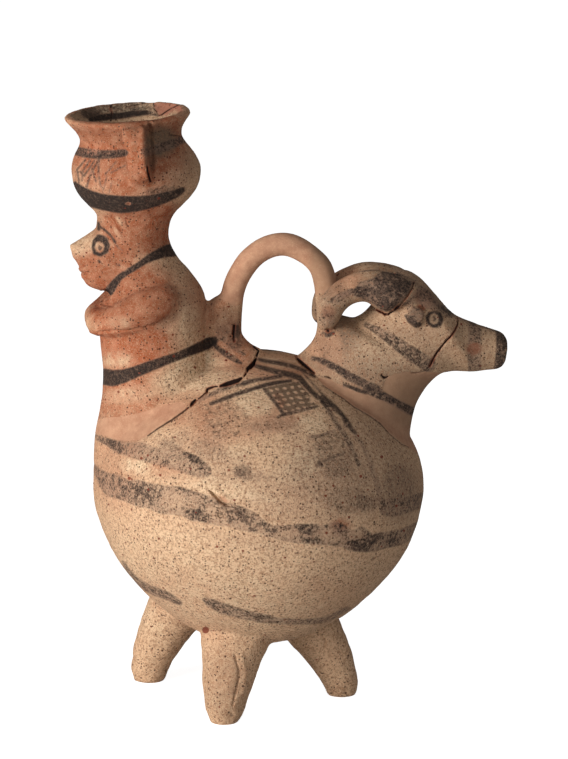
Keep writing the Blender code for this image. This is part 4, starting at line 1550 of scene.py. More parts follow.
class Surface:
    """The skin of the vessel seen through the front view, with its marks."""

    def __init__(
        self, points: np.ndarray, normals: np.ndarray, view: FrontView, inside: np.ndarray
    ) -> None:
        """Find where each point lies on the view.

        Args:
            points: The skin's points in mm.
            normals: Its normals.
            view: The front view.
            inside: 1 for points of the inner walls, 0 for the outer skin.
        """
        self.points = points
        self.inside = inside > 0.5
        folded = points.copy()
        folded[~self.inside, 1] = -np.abs(points[~self.inside, 1])
        self.grid = view.grid(folded)
        self.near = points[:, 1] <= NEAR_SIDE
        ray = view.eye() - points
        ray /= np.linalg.norm(ray, axis=1)[:, None]
        self.facing = np.einsum("ij,ij->i", ray, normals)
        self.seen = self.near & (self.facing > 0)

    def away(self, across: float, down: float) -> np.ndarray:
        """How far each point is from a spot on the view."""
        return np.hypot(self.grid[:, 0] - across, self.grid[:, 1] - down)

    def allowed(self, side: Side) -> np.ndarray:
        """Which points a mark of this side can touch.

        Args:
            side: The mark's side.

        Returns:
            A mask of the points.
        """
        if side is Side.INSIDE:
            return self.inside & (self.points[:, 2] > MOUTH_FLOOR)
        if side is Side.NEAR:
            return ~self.inside & self.near
        if side is Side.FAR:
            return ~self.inside & ~self.near
        return ~self.inside

    def lines(self, strokes: tuple) -> tuple:
        """Cover and strength of the stroke that covers each point best.

        Args:
            strokes: Strokes and fields.

        Returns:
            Two arrays.
        """
        cover = np.full(len(self.grid), FAR_OUTSIDE)
        strength = np.zeros(len(self.grid))
        for stroke in strokes:
            depth = np.where(self.allowed(stroke.side), stroke.cover(self.grid), FAR_OUTSIDE)
            score = np.minimum(depth, 1.5) + 2.0 * stroke.strength * (depth > -1.5)
            best = np.minimum(cover, 1.5) + 2.0 * strength * (cover > -1.5)
            wins = score > best
            cover = np.where(wins, depth, cover)
            strength = np.where(wins, stroke.strength, strength)
        return cover, strength

    def patches(self, blotches: tuple) -> np.ndarray:
        """The strongest patch at each point.

        Args:
            blotches: The patches.

        Returns:
            The strengths.
        """
        total = np.zeros(len(self.grid))
        for blotch in blotches:
            cover = np.where(self.allowed(blotch.side), blotch.cover(self.grid), 0.0)
            total = np.maximum(total, cover)
        return total


def linear(red: float, green: float, blue: float) -> tuple:
    """A colour given on the usual 0 to 255 scale as a shader colour.

    Args:
        red: Its red.
        green: Its green.
        blue: Its blue.

    Returns:
        Four shares.
    """
    shares = []
    for value in (red / 255, green / 255, blue / 255):
        shares.append(value / 12.92 if value <= 0.04045 else ((value + 0.055) / 1.055) ** 2.4)
    return (*shares, 1.0)


class Recipe(NodeBench):
    """A Principled material put together from nodes."""

    def __init__(self, name: str) -> None:
        """Start a material with a Principled shader and its pattern in mm.

        Args:
            name: The material's name.
        """
        self.material = bpy.data.materials.new(name)
        self.material.use_nodes = True
        super().__init__(self.material.node_tree)
        self.shader = self.tree.nodes["Principled BSDF"]
        spot = self.tree.nodes.new("ShaderNodeTexCoord")
        scale = self.tree.nodes.new("ShaderNodeVectorMath")
        scale.operation = "SCALE"
        scale.inputs["Scale"].default_value = 1 / MM
        self.tree.links.new(spot.outputs["Object"], scale.inputs[0])
        self.place = scale.outputs[0]

    def texture(self, kind: str, **inputs: float) -> Node:
        """Add a texture node that reads the pattern in mm.

        Args:
            kind: The node's type.
            inputs: Values for its inputs.

        Returns:
            The node.
        """
        made = self.tree.nodes.new(kind)
        for name, value in inputs.items():
            made.inputs[name].default_value = value
        self.feed(made.inputs["Vector"], self.place)
        return made

    def mix(self, share: object, first: object, second: object) -> NodeSocket:
        """Mix two colours.

        Args:
            share: How much of the second one there is.
            first: The colour under it, a socket or red, green and blue from 0 to 255.
            second: The colour over it, given likewise.

        Returns:
            The mixed colour.
        """
        made = self.tree.nodes.new("ShaderNodeMix")
        made.data_type = "RGBA"
        self.feed(made.inputs[0], share)
        for socket, colour in ((made.inputs[6], first), (made.inputs[7], second)):
            self.feed(socket, linear(*colour) if isinstance(colour, tuple) else colour)
        return made.outputs[2]

    def noise(self, size: float, detail: float = 3.0, rough: float = 0.55) -> Amount:
        """Noise from 0 to 1 with blobs of a size in mm."""
        made = self.texture("ShaderNodeTexNoise", Scale=1 / size, Detail=detail, Roughness=rough)
        return Amount(self, made.outputs["Fac"])

    def specks(self, spacing: float, largest: float, share: float) -> Amount:
        """Round specks.

        Args:
            spacing: Distance between neighbours in mm.
            largest: Radius of the largest in mm.
            share: How many of the places hold a speck.

        Returns:
            A mask that is 1 in the specks.
        """
        made = self.texture("ShaderNodeTexVoronoi", Scale=1 / spacing)
        split = self.tree.nodes.new("ShaderNodeSeparateColor")
        self.feed(split.inputs[0], made.outputs["Color"])
        reach = (Amount(self, split.outputs[0]) - (1 - share)) * (largest / spacing / share)
        return (reach - made.outputs["Distance"]).ramp(-0.02 / spacing, 0.09 / spacing)

    def attribute(self, name: str) -> Amount:
        """A number that the mesh carries.

        Args:
            name: The number's name.

        Returns:
            The number.
        """
        made = self.tree.nodes.new("ShaderNodeAttribute")
        made.attribute_name = name
        return Amount(self, made.outputs["Fac"])

    def finish(
        self, colour: NodeSocket, rough: float, relief: Amount, depth: float, strength: float
    ) -> Material:
        """End the material.

        Args:
            colour: Its colour.
            rough: Its roughness.
            relief: Heights from about 0 to 1.
            depth: How deep the relief is, in mm.
            strength: How much of the relief shows.

        Returns:
            The material.
        """
        bump = self.tree.nodes.new("ShaderNodeBump")
        bump.inputs["Strength"].default_value = strength
        bump.inputs["Distance"].default_value = depth * MM
        self.feed(bump.inputs["Height"], relief)
        self.feed(self.shader.inputs["Normal"], bump.outputs[0])
        self.feed(self.shader.inputs["Base Color"], colour)
        self.shader.inputs["Roughness"].default_value = rough
        return self.material


@dataclass(frozen=True)
class Terracotta:
    """Buff fired clay with orange and grey clouds, painted shade and painted light, worn dark paint, pores
    and repairs.
    """

    buff: tuple = (213, 175, 140)
    # Tone of pale clay and pale specks, also used as painted light
    pale: tuple = (230, 202, 166)
    pink: tuple = (178, 112, 82)
    orange: tuple = (158, 81, 47)
    # Tone of the grey clouds, also used as painted shade
    ash_and_shade: tuple = (112, 90, 72)
    grain: tuple = (158, 116, 86)
    speck: tuple = (112, 74, 54)
    pore: tuple = (64, 40, 31)
    grog: tuple = (116, 50, 34)
    paint: tuple = (44, 34, 29)
    faded_paint: tuple = (98, 77, 64)
    veil: tuple = (124, 100, 87)
    filler: tuple = (201, 153, 122)
    filler_shade: tuple = (180, 130, 102)
    dull_filler: tuple = (146, 116, 90)
    sherd: tuple = (170, 102, 82)
    crack: tuple = (34, 17, 11)
    split_edge: tuple = (150, 66, 42)
    # Colour of the painted shade deep inside the jar
    inner_shade: tuple = (70, 50, 38)
    squareness: float = 2.4
    roughness: float = 0.9
    sheen: float = 0.25
    pores: tuple = (1.3, 0.5, 0.6)
    pits: tuple = (4.2, 0.62, 0.6)
    grog_grains: tuple = (7.0, 0.8, 0.6)

    def clay(self, mixer: Recipe, raw: Amount) -> NodeSocket:
        """The colour of the bare clay.

        Args:
            mixer: The material in the making.
            raw: A mask that is 1 outside the repairs.

        Returns:
            The colour with its clouds, painted shade and painted light, grains and repairs.
        """
        middle = mixer.noise(4.5, 4.0, 0.62)
        dust = mixer.noise(0.6, 2.0, 0.75)
        warm = (mixer.attribute("warmth") * (middle + 0.66)).held()
        warm = (warm + mixer.noise(26.0).ramp(0.5, 0.8) * 0.22).held()
        glow = mixer.mix(middle.spread(2.0).ramp(0.25, 0.7), self.pink, self.orange)
        # Grey clouds, together with painted shade where shadows fall
        ash_and_shade = (mixer.attribute("ash_and_shade") * (middle + 0.5)).held()
        # Pale clay, together with painted light that lifts shaded places
        pale = (mixer.attribute("pale") * middle.ramp(0.3, 0.62)).held()
        buff = 1.0 - warm * 0.5
        colour = mixer.mix(warm, self.buff, glow)
        for share, tone in (
            (ash_and_shade, self.ash_and_shade),
            (pale, self.pale),
            (mixer.noise(1.3, 3.0, 0.7).ramp(0.47, 0.6) * 0.72 * buff, self.grain),
            (mixer.noise(0.85, 2.0, 0.75).ramp(0.56, 0.65) * 0.72 * buff, self.speck),
            (dust.ramp(0.54, 0.66) * 0.62 * buff * (1.0 - ash_and_shade * 0.75), self.pale),
        ):
            colour = mixer.mix(share, colour, tone)
        filled = mixer.mix(middle.ramp(0.3, 0.7), self.filler, self.filler_shade)
        filled = mixer.mix(dust.ramp(0.58, 0.7) * 0.3, filled, self.pale)
        # The repairs turn duller under the grey clouds and the painted shade
        filled = mixer.mix(mixer.attribute("ash_and_shade"), filled, self.dull_filler)
        colour = mixer.mix((1.0 - raw) * 0.92, colour, filled)
        return mixer.mix(mixer.attribute("sherd") * 0.8, colour, self.sherd)

    def bands(self, mixer: Recipe) -> tuple:
        """The masks of the painted bands.

        Args:
            mixer: The material in the making.

        Returns:
            The mask of the thin stain that is left and that of the paint's solid bits.
        """
        cover = mixer.attribute("paint")
        strength = mixer.attribute("paint_strength")
        wear = mixer.noise(3.0, 5.0, 0.66).spread(2.3)
        fine = mixer.noise(1.15, 3.0, 0.7).spread(2.7)
        rough = (wear - 0.5) * 2.0 + (fine - 0.5) * 1.4
        thin = cover.ramp(0.0, 3.5) * 0.75 + 0.25
        inside = (cover + rough * thin).ramp(-1.1, 1.3)
        stain = (strength * 0.62 + 0.14).held()
        stain = (stain * (mixer.noise(5.0) + 0.46)).held() * inside
        bits = (strength * 1.08 - (wear * 0.5 + fine * 0.5)).ramp(-0.1, 0.22) * inside
        gaps = mixer.noise(0.6, 2.0, 0.75).ramp(0.52, 0.66) * (1.06 - strength).held()
        return stain, bits * (1.0 - gaps)

    def netting(self, mixer: Recipe) -> Amount:
        """The mask of the dark lines between the net's light spots.

        Args:
            mixer: The material in the making.

        Returns:
            The mask.
        """
        fine = mixer.noise(1.0, 3.0, 0.7)
        wear = mixer.noise(2.4, 5.0, 0.66).spread(2.0)
        sway = (mixer.noise(6.0, 2.0) - 0.5) * 0.9
        powers = []
        for name in ("net_along", "net_down"):
            half = mixer.math("FRACT", mixer.attribute(name) + sway) - 0.5
            powers.append(mixer.math("POWER", mixer.math("ABSOLUTE", half), self.squareness))
        reach = mixer.math("POWER", powers[0] + powers[1], 1 / self.squareness)
        lines = (reach + (fine - 0.5) * 0.5).ramp(0.12, 0.36)
        kept = (mixer.attribute("net") * 1.25 - (wear * 0.6 + fine * 0.4)).ramp(-0.15, 0.35)
        return lines * kept * 0.74

    def build(self) -> Material:
        """Put the material together.

        Returns:
            The material.
        """
        mixer = Recipe("terracotta_worn")
        middle = mixer.noise(6.0, 4.0)
        fine = mixer.noise(1.3, 3.0, 0.7)
        grit = mixer.noise(1.15, 3.0, 0.7).spread(1.8)
        wear = mixer.noise(3.0, 5.0, 0.66).spread(1.2)
        rim = (fine - 0.5) * 2.4
        raw = 1.0 - (mixer.attribute("restored") + rim).ramp(-0.5, 0.8)
        on_repair = raw * 0.8 + 0.2

        # Paint: a thin stain with darker bits
        stain, bits = self.bands(mixer)
        grime = mixer.attribute("smudge")
        smudge = (grime * 1.1 - (wear * 0.4 + grit * 0.6)).ramp(-0.2, 0.3) * 0.85
        stain = mixer.math("MAXIMUM", stain, grime * 0.55)
        bits = mixer.math("MAXIMUM", mixer.math("MAXIMUM", bits, self.netting(mixer)), smudge) * on_repair
        faded = (fine - mixer.attribute("paint_strength") * 0.3).ramp(0.18, 0.5)
        pigment = mixer.mix(faded, self.paint, self.faded_paint)

        # Pores and grog, cracks with their fresh red rims, and painted shade deeper inside the jar
        pores, pits, grog = (mixer.specks(*row) * raw for row in (self.pores, self.pits, self.grog_grains))
        crack = mixer.attribute("crack") + rim * 0.25
        fresh = crack.ramp(-1.5, -0.4) * middle.ramp(0.4, 0.6) * mixer.attribute("crack_fresh")
        colour = self.clay(mixer, raw)
        for share, tone in (
            (stain, self.veil),
            (bits, pigment),
            (pores * 0.85, self.pore),
            (grog * 0.85, self.grog),
            (pits * 0.85, self.pore),
            (mixer.attribute("inclusion").ramp(-0.5, 0.3) * 0.9, self.grog),
            (fresh * 0.66, self.split_edge),
            (crack.ramp(-0.6, 0.35) * mixer.attribute("crack_dark"), self.crack),
            # Painted shade, darker deeper inside the jar
            (mixer.attribute("inner_shade") * 0.8, self.inner_shade),
        ):
            colour = mixer.mix(share, colour, tone)

        # Relief of grains, pores and worn paint
        relief = (fine * 0.45 + mixer.noise(0.6, 2.0, 0.75) * 0.3) * on_repair
        relief = relief - pores * 0.4 - pits * 0.6 + bits * 0.07 + middle * 0.4
        mixer.shader.inputs["Specular IOR Level"].default_value = self.sheen
        return mixer.finish(colour, self.roughness, relief, 0.6, 0.85)


@dataclass(frozen=True)
class Grog:
    """Crushed potsherds and dark grit that show in the skin."""

    name: str
    light: tuple
    dark: tuple

    def build(self) -> Material:
        """Put the material together.

        Returns:
            The material.
        """
        mixer = Recipe(self.name)
        colour = mixer.mix(mixer.noise(1.2, 2.0), self.dark, self.light)
        return mixer.finish(colour, 0.92, mixer.noise(0.4, 2.0), 0.15, 0.6)


@dataclass
class Askos:
    """The whole vessel: forms worked together, hollowed, cracked, painted and dressed."""

    globe: Globe
    woman: Woman
    jar: Jar
    ram: Ram
    handle: BasketHandle
    legs: Legs
    view: FrontView
    panel: Panel
    grain: float = 1.0
    globe_wall: float = 5.5
    figure_wall: float = 6.0
    facets: int = 125000
    inner_facets: int = 9000
    inner_grain: float = 1.9
    wipes: int = 3
    fine_reach: float = 3.0
    longest_edge: float = 0.55
    thin_line: float = 2.3
    inclusion_scale: float = 2.1
    mouth_axis: float = -61.0
    rim_heights: tuple = (281.0, 287.0)
    rim_loss: float = 0.36
    chip_turn: float = 62.0
    chip_loss: float = 0.5
    panel_heights: tuple = (100.0, 182.0)
    # Height below which the jar's inside is painted darker as shade
    dark_below: float = 268.0

    def hollow(self, shop: Workshop) -> Object:
        """The one connected hollow from the jar to the ram's head.

        Args:
            shop: The workshop's tools.

        Returns:
            The hollow as a body.
        """
        forms = [
            self.globe.body(shop, self.globe_wall),
            self.woman.column(shop, self.figure_wall),
            self.ram.column(shop, self.figure_wall),
            self.jar.cup(shop),
        ]
        inside = shop.fused("inside", forms, self.inner_grain, self.wipes)
        return self.thinned(inside, self.inner_facets)

    def thinned(self, piece: Object, facets: int) -> Object:
        """Lower a mesh to about this many facets.

        Args:
            piece: The object.
            facets: How many facets it may keep.

        Returns:
            The lighter object.
        """
        piece.data.calc_loop_triangles()
        thin = piece.modifiers.new("Facet", "DECIMATE")
        thin.ratio = min(facets / len(piece.data.loop_triangles), 1.0)
        return settle(piece)

    def refine(self, mesh: Mesh, reach: float) -> None:
        """Give the skin finer faces along cracks and small forms.

        Args:
            mesh: The skin.
            reach: How far round each mark, in view units.
        """
        points = read_points(mesh)
        skin = Surface(points, read_normals(mesh), self.view, np.zeros(len(points)))
        close = np.zeros(len(points), dtype=bool)
        for stroke in CRACKS + FOLDS:
            if stroke.side is Side.INSIDE:
                continue
            close |= skin.allowed(stroke.side) & (stroke.cover(skin.grid) > -reach)
        close &= (skin.facing > -0.2) | ~skin.near
        with opened(mesh) as form:
            edges = [edge for edge in form.edges if all(close[end.index] for end in edge.verts)]
            bmesh.ops.subdivide_edges(form, edges=edges, cuts=2, use_grid_fill=True)

    def carve(self, mesh: Mesh) -> None:
        """Press cracks, creases, pits, lumps and the unevenness of the hand into the skin.

        Args:
            mesh: The skin.
        """
        points = read_points(mesh)
        normals = read_normals(mesh)
        skin = Surface(points, normals, self.view, np.zeros(len(points)))
        rise = 0.45 * cloud(points, 26.0, 3.0) + 0.22 * cloud(points, 9.0, 5.0)
        rough = 0.10 * cloud(points, 3.0, 9.0)
        smooth = ramp(self.repaired(skin), -1.0, 1.0)
        rise += rough * (1 - smooth)
        legs = ramp(62 - points[:, 2], 0.0, 20.0)
        rise += legs * 0.5 * cloud(points, 6.0, 2.0)
        ragged = 0.5 * cloud(points, 1.8, 7.0)
        for stroke in CRACKS + FOLDS:
            if stroke.side is Side.INSIDE:
                continue
            cover = stroke.cover(skin.grid) + ragged
            allowed = skin.allowed(stroke.side) & ((skin.facing > -0.1) | (stroke.side is not Side.NEAR))
            half = max(width for *_, width in stroke.points)
            rise -= np.where(allowed, stroke.strength * ramp(cover, -0.8, max(0.8 * half, 0.5)), 0.0)
        for across, down, radius, depth in PITS:
            distance = skin.away(across, down) + ragged
            pit = depth * (1 - ramp(distance, 0.3 * radius, 1.2 * radius))
            rise -= np.where(skin.seen, pit, 0.0)
        for lump in LUMPS:
            cover = lump.cover(skin.grid)
            half = max(width for *_, width in lump.points)
            rise += np.where(skin.allowed(lump.side), lump.strength * ramp(cover, -1.5, half), 0.0)
        shaped = points + normals * rise[:, None]
        self.break_rim(shaped)
        foot = ramp(points[:, 2], 1.5, SOLE)
        kept = points[:, 2] * (1 - foot) + shaped[:, 2] * foot
        shaped[:, 2] = np.where(points[:, 2] < SOLE, kept, shaped[:, 2])
        write_points(mesh, shaped)

    def break_rim(self, points: np.ndarray) -> None:
        """Wear the jar's rim down where it is chipped, most of all at the back.

        Args:
            points: The skin's points, which are moved.
        """
        turn = np.degrees(np.arctan2(points[:, 1], points[:, 0] - self.mouth_axis))
        jag = cloud(points * (1, 1, 0), 5.0, 4.0)
        loss = self.rim_loss * np.abs(jag) * ramp(points[:, 1], -4.0, 18.0)
        loss += self.chip_loss * (1 - ramp(np.abs(turn - self.chip_turn), 4.0, 9.0))
        points[:, 2] -= loss * ramp(points[:, 2], *self.rim_heights)

    def sharpen(self, mesh: Mesh, inner: BVHTree, longest: float) -> None:
        """Give the skin faces fine enough to carry thin lines and small spots.

        Args:
            mesh: The finished skin.
            inner: The hollow's own walls.
            longest: Edges near such marks are split where they are longer, in mm.
        """
        for _ in range(2):
            points = read_points(mesh)
            inside = self.inner_walls(mesh, inner, MOUTH_FLOOR)
            skin = Surface(points, read_normals(mesh), self.view, inside)
            close = np.zeros(len(points), dtype=bool)
            for stroke in PAINT + CRACKS:
                if isinstance(stroke, Field):
                    continue
                for first, last in zip(stroke.points, stroke.points[1:]):
                    if max(first[2], last[2]) < self.thin_line or stroke.side is Side.INSIDE:
                        part = Stroke((first, last), 1.0, stroke.side)
                        depth = part.cover(skin.grid)
                        close |= skin.allowed(stroke.side) & (depth > -1.6) & (depth < 1.7)
            for across, down, radius in INCLUSIONS:
                distance = skin.away(across, down)
                close |= skin.near & (distance < self.inclusion_scale * radius + 1.6)
            close &= (skin.facing > -0.15) | ~skin.near
            with opened(mesh) as form:
                edges = []
                for edge in form.edges:
                    if any(close[end.index] for end in edge.verts) and edge.calc_length() > longest * MM:
                        edges.append(edge)
                bmesh.ops.subdivide_edges(form, edges=edges, cuts=1)
                bmesh.ops.triangulate(form, faces=[face for face in form.faces if len(face.verts) > 4])
            LOG.info("%d edges split, %d faces", len(edges), len(mesh.polygons))

    def inner_walls(self, mesh: Mesh, inner: BVHTree, lowest: float) -> np.ndarray:
        """1 for the skin's points on the hollow's walls above a height in mm, 0 for the others.

        Args:
            mesh: The skin.
            inner: The hollow's own walls.
            lowest: The height.

        Returns:
            The ones and zeros.
        """
        inside = np.zeros(len(mesh.vertices))
        for index, point in enumerate(mesh.vertices):
            if point.co.z >= lowest * MM:
                inside[index] = inner.find_nearest(point.co, 0.00006)[0] is not None
        return inside

    def mark(self, mesh: Mesh, inner: BVHTree) -> None:
        """Write paint, clouds of colour with painted shade and painted light, repairs, cracks and painted
        shade deep in the jar on the skin as attributes.

        Args:
            mesh: The skin.
            inner: The hollow's own walls.
        """
        points = read_points(mesh)
        inside = self.inner_walls(mesh, inner, 0.0)
        skin = Surface(points, read_normals(mesh), self.view, inside)
        paint, strength = skin.lines(PAINT)
        strength *= 1 - np.clip(skin.patches(WORN), 0.0, 1.0)
        strength += (1 - strength) * 0.42 * np.clip(skin.patches(DENSE), 0.0, 1.0)
        crack, depth = skin.lines(CRACKS)
        for across, down, radius, hollow in PITS:
            distance = skin.away(across, down)
            pit = np.where(skin.seen, 0.5 * radius - distance, -8.0)
            depth = np.where(pit > crack, hollow, depth)
            crack = np.maximum(crack, pit)
        spot = np.full(len(points), -8.0)
        for across, down, radius in INCLUSIONS:
            distance = skin.away(across, down)
            spot = np.maximum(spot, np.where(skin.seen, self.inclusion_scale * radius - distance, -8.0))
        spots = self.panel.spots(skin.grid)
        net = self.panel.strength(skin.grid) * skin.allowed(Side.NEAR)
        low, high = self.panel_heights
        net *= (points[:, 2] < high) & (points[:, 2] > low)
        in_sherd = np.where(skin.allowed(Side.INSIDE), ramp(SHERD.cover(skin.grid), -0.6, 1.0), 0.0)
        layers = {
            "paint": np.clip(paint, -8, 12),
            "paint_strength": strength,
            "crack": np.clip(crack, -8, 8),
            "crack_dark": ramp(depth, 0.2, 1.0),
            "crack_fresh": ramp(depth, 0.7, 1.9),
            "inclusion": spot,
            "net_along": spots[:, 0] + 60.0,
            "net_down": spots[:, 1] + 60.0,
            "net": net,
            "sherd": in_sherd,
            "smudge": skin.patches(SMUDGES),
            "warmth": skin.patches(WARMTH),
            # These grey clouds also carry painted shade, and the pale patches also carry painted light.
            "ash_and_shade": skin.patches(ASH_AND_SHADE),
            "pale": skin.patches(PALE_AND_LIT),
            "restored": self.repaired(skin),
            # Painted shade: darker the deeper a point lies inside the jar
            "inner_shade": np.where(skin.inside, ramp(self.dark_below - points[:, 2], 0.0, 22.0), 0.0),
            "covered": np.where(skin.inside, 1.0, 0.0),
        }
        for name, values in layers.items():
            layer = mesh.attributes.new(name, "FLOAT", "POINT")
            layer.data.foreach_set("value", np.ascontiguousarray(values, dtype=np.float32))

    def repaired(self, skin: Surface) -> np.ndarray:
        """How far inside a modern repair each point is, in view units.

        Args:
            skin: The skin's surface.

        Returns:
            The depths.
        """
        x, y, z = skin.points.T
        on_handle = ~skin.inside & (z > 178) & (x > -20) & (x < 39) & (np.abs(y) < 7.5)
        depth = np.where(on_handle, HANDLE_REPAIR.cover(skin.grid), -20.0)
        lower = ~skin.inside & (z < 170)
        for field in REPAIRS:
            depth = np.maximum(depth, np.where(lower, field.cover(skin.grid), -20.0))
        return np.clip(depth, -8.0, 8.0)

    def build(self, shop: Workshop) -> Object:
        """Make the vessel.

        Args:
            shop: The workshop's tools.

        Returns:
            The vessel.
        """
        forms = [self.globe.body(shop)]
        forms += self.woman.forms(shop) + self.jar.forms(shop) + self.ram.forms(shop)
        forms += self.handle.forms(shop) + self.legs.forms(shop)
        rounds = max(int(self.wipes * (self.inner_grain / self.grain) ** 2 * 0.8), self.wipes)
        skin = shop.fused("askos_vessel", forms, self.grain, rounds)
        LOG.info("skin of %d points", len(skin.data.vertices))
        self.refine(skin.data, self.fine_reach)
        self.carve(skin.data)
        skin = self.thinned(skin, self.facets)
        inside = self.hollow(shop)
        bore = self.ram.bore(shop)
        tree = BVHTree.FromPolygons(
            [point.co[:] for point in inside.data.vertices],
            [face.vertices[:] for face in inside.data.polygons],
        )
        ground = self.ground()
        for cutter in (inside, bore, ground):
            cut = skin.modifiers.new(cutter.name, "BOOLEAN")
            cut.operation = "DIFFERENCE"
            cut.solver = "EXACT"
            cut.object = cutter
        skin = settle(skin)
        for cutter in (inside, bore, ground):
            bpy.data.objects.remove(cutter)
        self.sharpen(skin.data, tree, self.longest_edge)
        self.mark(skin.data, tree)
        self.fit(skin.data)
        skin.data.materials.clear()
        skin.data.materials.append(Terracotta().build())
        skin.data.shade_smooth()
        return skin

    def ground(self) -> Object:
        """Everything under the floor, which levels the feet.

        Returns:
            A block to cut with.
        """
        mesh = bpy.data.meshes.new("ground")
        with opened(mesh) as form:
            bmesh.ops.create_cube(form, size=1.0)
            bmesh.ops.scale(form, vec=(0.4, 0.4, 0.05), verts=form.verts)
            bmesh.ops.translate(form, vec=(0.0, 0.0, -0.025), verts=form.verts)
        return add_object("ground", mesh)

    def fit(self, mesh: Mesh) -> None:
        """Keep the skin inside the solid's box, to a hair.

        Args:
            mesh: The skin.
        """
        low, high = np.array(CAD_BOX[0]) / MM, np.array(CAD_BOX[1]) / MM
        flat = np.empty(len(mesh.vertices) * 3)
        mesh.vertices.foreach_get("co", flat)
        points = flat.reshape(-1, 3) / MM
        for axis in range(3):
            least, most = points[:, axis].min(), points[:, axis].max()
            LOG.info("axis %d: %.2f to %.2f, box %.2f to %.2f", axis, least, most, low[axis], high[axis])
            scale = min((high[axis] - low[axis]) / (most - least), 1.0)
            centre = (least + most) / 2 if axis < 2 else least
            points[:, axis] = (points[:, axis] - centre) * scale
            middle = (low[axis] + high[axis]) / 2 if axis < 2 else low[axis]
            slack = max((high[axis] - low[axis]) - (most - least) * scale, 0.0) / 2
            points[:, axis] += min(max(centre, middle - slack), middle + slack) if axis < 2 else middle
        mesh.vertices.foreach_set("co", (points * MM).ravel())
        mesh.update()


@dataclass
class Grit:
    """Specks of crushed sherd that lie in the skin."""

    name: str
    finish: Grog
    density: float
    smallest: float
    largest: float
    seed: int

    def tool(self) -> NodeTool:
        """A tree that strews flat specks over a skin.

        Returns:
            The tree.
        """
        tool = NodeTool("strewn_" + self.name)
        density = tool.size("Density", 4000.0)
        smallest = tool.size("Smallest", 0.3)
        largest = tool.size("Largest", 0.8)
        seed = tool.size("Seed", 1, whole=True)
        material = tool.material()
        spots = tool.node(
            "GeometryNodeDistributePointsOnFaces",
            Mesh=tool.source.outputs["Geometry"],
            Density=density,
            Seed=seed,
        )
        speck = tool.node("GeometryNodeMeshIcoSphere", Radius=MM, Subdivisions=2)
        sizes = tool.node("FunctionNodeRandomValue", {"data_type": "FLOAT"}, Seed=seed)
        tool.feed(sizes.inputs[2], smallest)
        tool.feed(sizes.inputs[3], largest)
        flat = tool.node("ShaderNodeCombineXYZ")
        size = Amount(tool, sizes.outputs[1])
        for socket, width in zip(flat.inputs, (size, size * 0.7, size * 0.3)):
            tool.feed(socket, width)
        strewn = tool.node(
            "GeometryNodeInstanceOnPoints",
            Points=spots.outputs["Points"],
            Instance=speck.outputs[0],
            Rotation=spots.outputs["Rotation"],
            Scale=flat.outputs[0],
        )
        tool.finish(strewn.outputs[0], material)
        return tool

    def build(self, skin: Object) -> Object:
        """Strew the specks over the outer skin.

        Args:
            skin: The vessel.

        Returns:
            The specks.
        """
        form = bmesh.new()
        form.from_mesh(skin.data)
        layer = form.verts.layers.float.get("covered")
        restored = form.verts.layers.float.get("restored")
        drop = []
        low, high = CAD_BOX
        for face in form.faces:
            first = face.verts[0]
            spot = first.co
            near_edge = any(
                spot[axis] > high[axis] - MM or spot[axis] < low[axis] + MM for axis in range(3)
            )
            if first[layer] > 0.01 or first[restored] > 0.0 or spot.z < 4 * MM or near_edge:
                drop.append(face)
        bmesh.ops.delete(form, geom=drop, context="FACES")
        mesh = bpy.data.meshes.new(self.name)
        form.to_mesh(mesh)
        form.free()
        carrier = add_object(self.name, mesh)
        made = self.tool().run(
            carrier,
            Density=self.density,
            Smallest=self.smallest,
            Largest=self.largest,
            Seed=self.seed,
            Material=self.finish.build(),
        )
        made.data.shade_smooth()
        return made


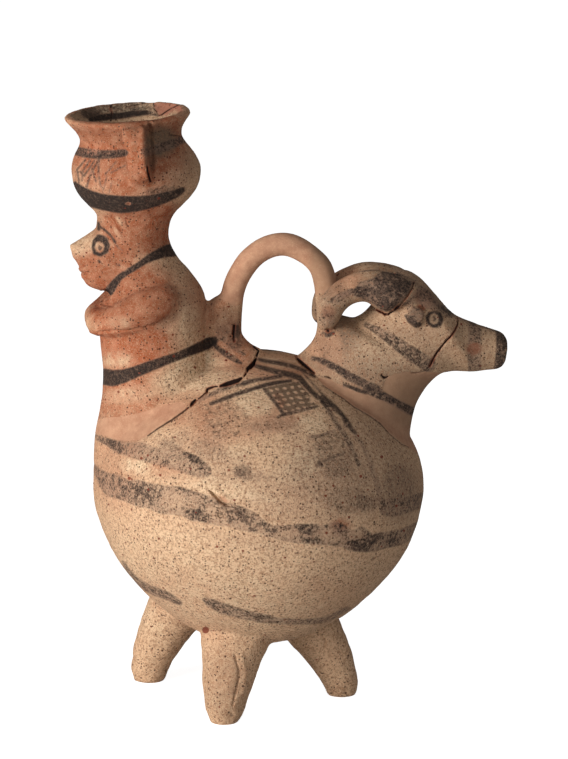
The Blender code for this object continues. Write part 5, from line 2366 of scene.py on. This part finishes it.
@dataclass
class Studio:
    """Pale floor, soft lights and the camera at the front view."""

    view: FrontView
    floor_radius: float = 12.0
    floor_tone: float = 0.7
    floor_glow: float = 0.9
    light_all_round: float = 0.14
    white_all_round: float = 1.05
    aim: tuple = (0.0, 0.0, 0.15)
    sensor: float = 36.0
    lights: tuple = (
        ("key", (-1.42, -0.92, 0.38), 0.95, 35.0, (1.0, 0.985, 0.965)),
        ("front", (0.2, -1.9, 1.2), 1.2, 8.4, (1.0, 1.0, 1.0)),
    )

    def floor(self) -> Object:
        """A wide pale floor.

        Returns:
            The floor.
        """
        mesh = bpy.data.meshes.new("floor")
        with opened(mesh) as form:
            bmesh.ops.create_circle(form, cap_ends=True, radius=self.floor_radius, segments=96)
        floor = add_object("floor", mesh)
        mixer = Recipe("floor_white")
        mixer.shader.inputs["Base Color"].default_value = (*(self.floor_tone,) * 3, 1.0)
        mixer.shader.inputs["Roughness"].default_value = 0.9
        mixer.shader.inputs["Emission Color"].default_value = (1.0, 1.0, 1.0, 1.0)
        path = mixer.tree.nodes.new("ShaderNodeLightPath")
        glow = mixer.math("MULTIPLY", path.outputs["Is Camera Ray"], self.floor_glow)
        mixer.feed(mixer.shader.inputs["Emission Strength"], glow)
        floor.data.materials.append(mixer.material)
        return floor

    def light(self, name: str, place: tuple, size: float, watts: float, tint: tuple) -> None:
        """A soft square light aimed at the vessel.

        Args:
            name: The light's name.
            place: Where it hangs, in metres.
            size: Its side in metres.
            watts: Its power.
            tint: Its colour.
        """
        lamp = bpy.data.lights.new(name, "AREA")
        lamp.size = size
        lamp.energy = watts
        lamp.color = tint
        holder = bpy.data.objects.new(name, lamp)
        holder.location = place
        aim = Vector(self.aim) - Vector(place)
        holder.rotation_euler = aim.to_track_quat("-Z", "Y").to_euler()
        bpy.context.scene.collection.objects.link(holder)

    def surroundings(self) -> None:
        """White all round for the eye, dimmer as light."""
        world = bpy.data.worlds.new("studio")
        bpy.context.scene.world = world
        world.use_nodes = True
        tree = world.node_tree
        back = tree.nodes["Background"]
        back.inputs["Color"].default_value = (1.0, 1.0, 1.0, 1.0)
        path = tree.nodes.new("ShaderNodeLightPath")
        share = tree.nodes.new("ShaderNodeMapRange")
        share.inputs["To Min"].default_value = self.light_all_round
        share.inputs["To Max"].default_value = self.white_all_round
        tree.links.new(path.outputs["Is Camera Ray"], share.inputs["Value"])
        tree.links.new(share.outputs[0], back.inputs["Strength"])

    def camera(self) -> None:
        """The camera at the front view."""
        lens = bpy.data.cameras.new("front_view")
        lens.lens = self.view.lens
        lens.sensor_width = self.sensor
        holder = bpy.data.objects.new("front_view", lens)
        bpy.context.scene.collection.objects.link(holder)
        middle = Vector(self.view.middle) + Vector((AXIS_IN_FRAME, 0.0, 0.0))
        back = Vector(self.view.back())
        holder.location = (middle + back * self.view.distance) * MM
        holder.rotation_euler = (-back).to_track_quat("-Z", "Y").to_euler()
        lens.clip_start = 0.05
        lens.clip_end = 50.0
        bpy.context.scene.camera = holder

    def build(self) -> None:
        """Set up the studio."""
        self.floor()
        self.surroundings()
        for row in self.lights:
            self.light(*row)
        self.camera()
        bpy.context.scene.view_settings.view_transform = "Standard"


def main() -> None:
    """Build the vessel and its studio, and report each piece."""
    logging.basicConfig(level=logging.INFO, format="%(message)s")
    view = FrontView()
    shop = Workshop()
    askos = Askos(
        Globe(), Woman(), Jar(), Ram(), BasketHandle(), Legs(), view, Panel(),
        grain=1.0,
        facets=125000,
    )
    vessel = askos.build(shop)
    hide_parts("askos")
    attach(vessel, "root")
    LOG.info("askos_vessel: %d faces", len(vessel.data.polygons))
    red = Grog("red_grog", (132, 62, 42), (88, 38, 28))
    black = Grog("dark_grit", (96, 68, 52), (48, 34, 27))
    for grit in (
        Grit("red_grog_specks", red, 3000.0, 0.22, 0.7, 11),
        Grit("dark_grit_specks", black, 17000.0, 0.16, 0.42, 23),
    ):
        specks = grit.build(vessel)
        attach(specks, "root")
        LOG.info("%s: %d faces", specks.name, len(specks.data.polygons))
    Studio(view).build()


if __name__ == "__main__":
    main()
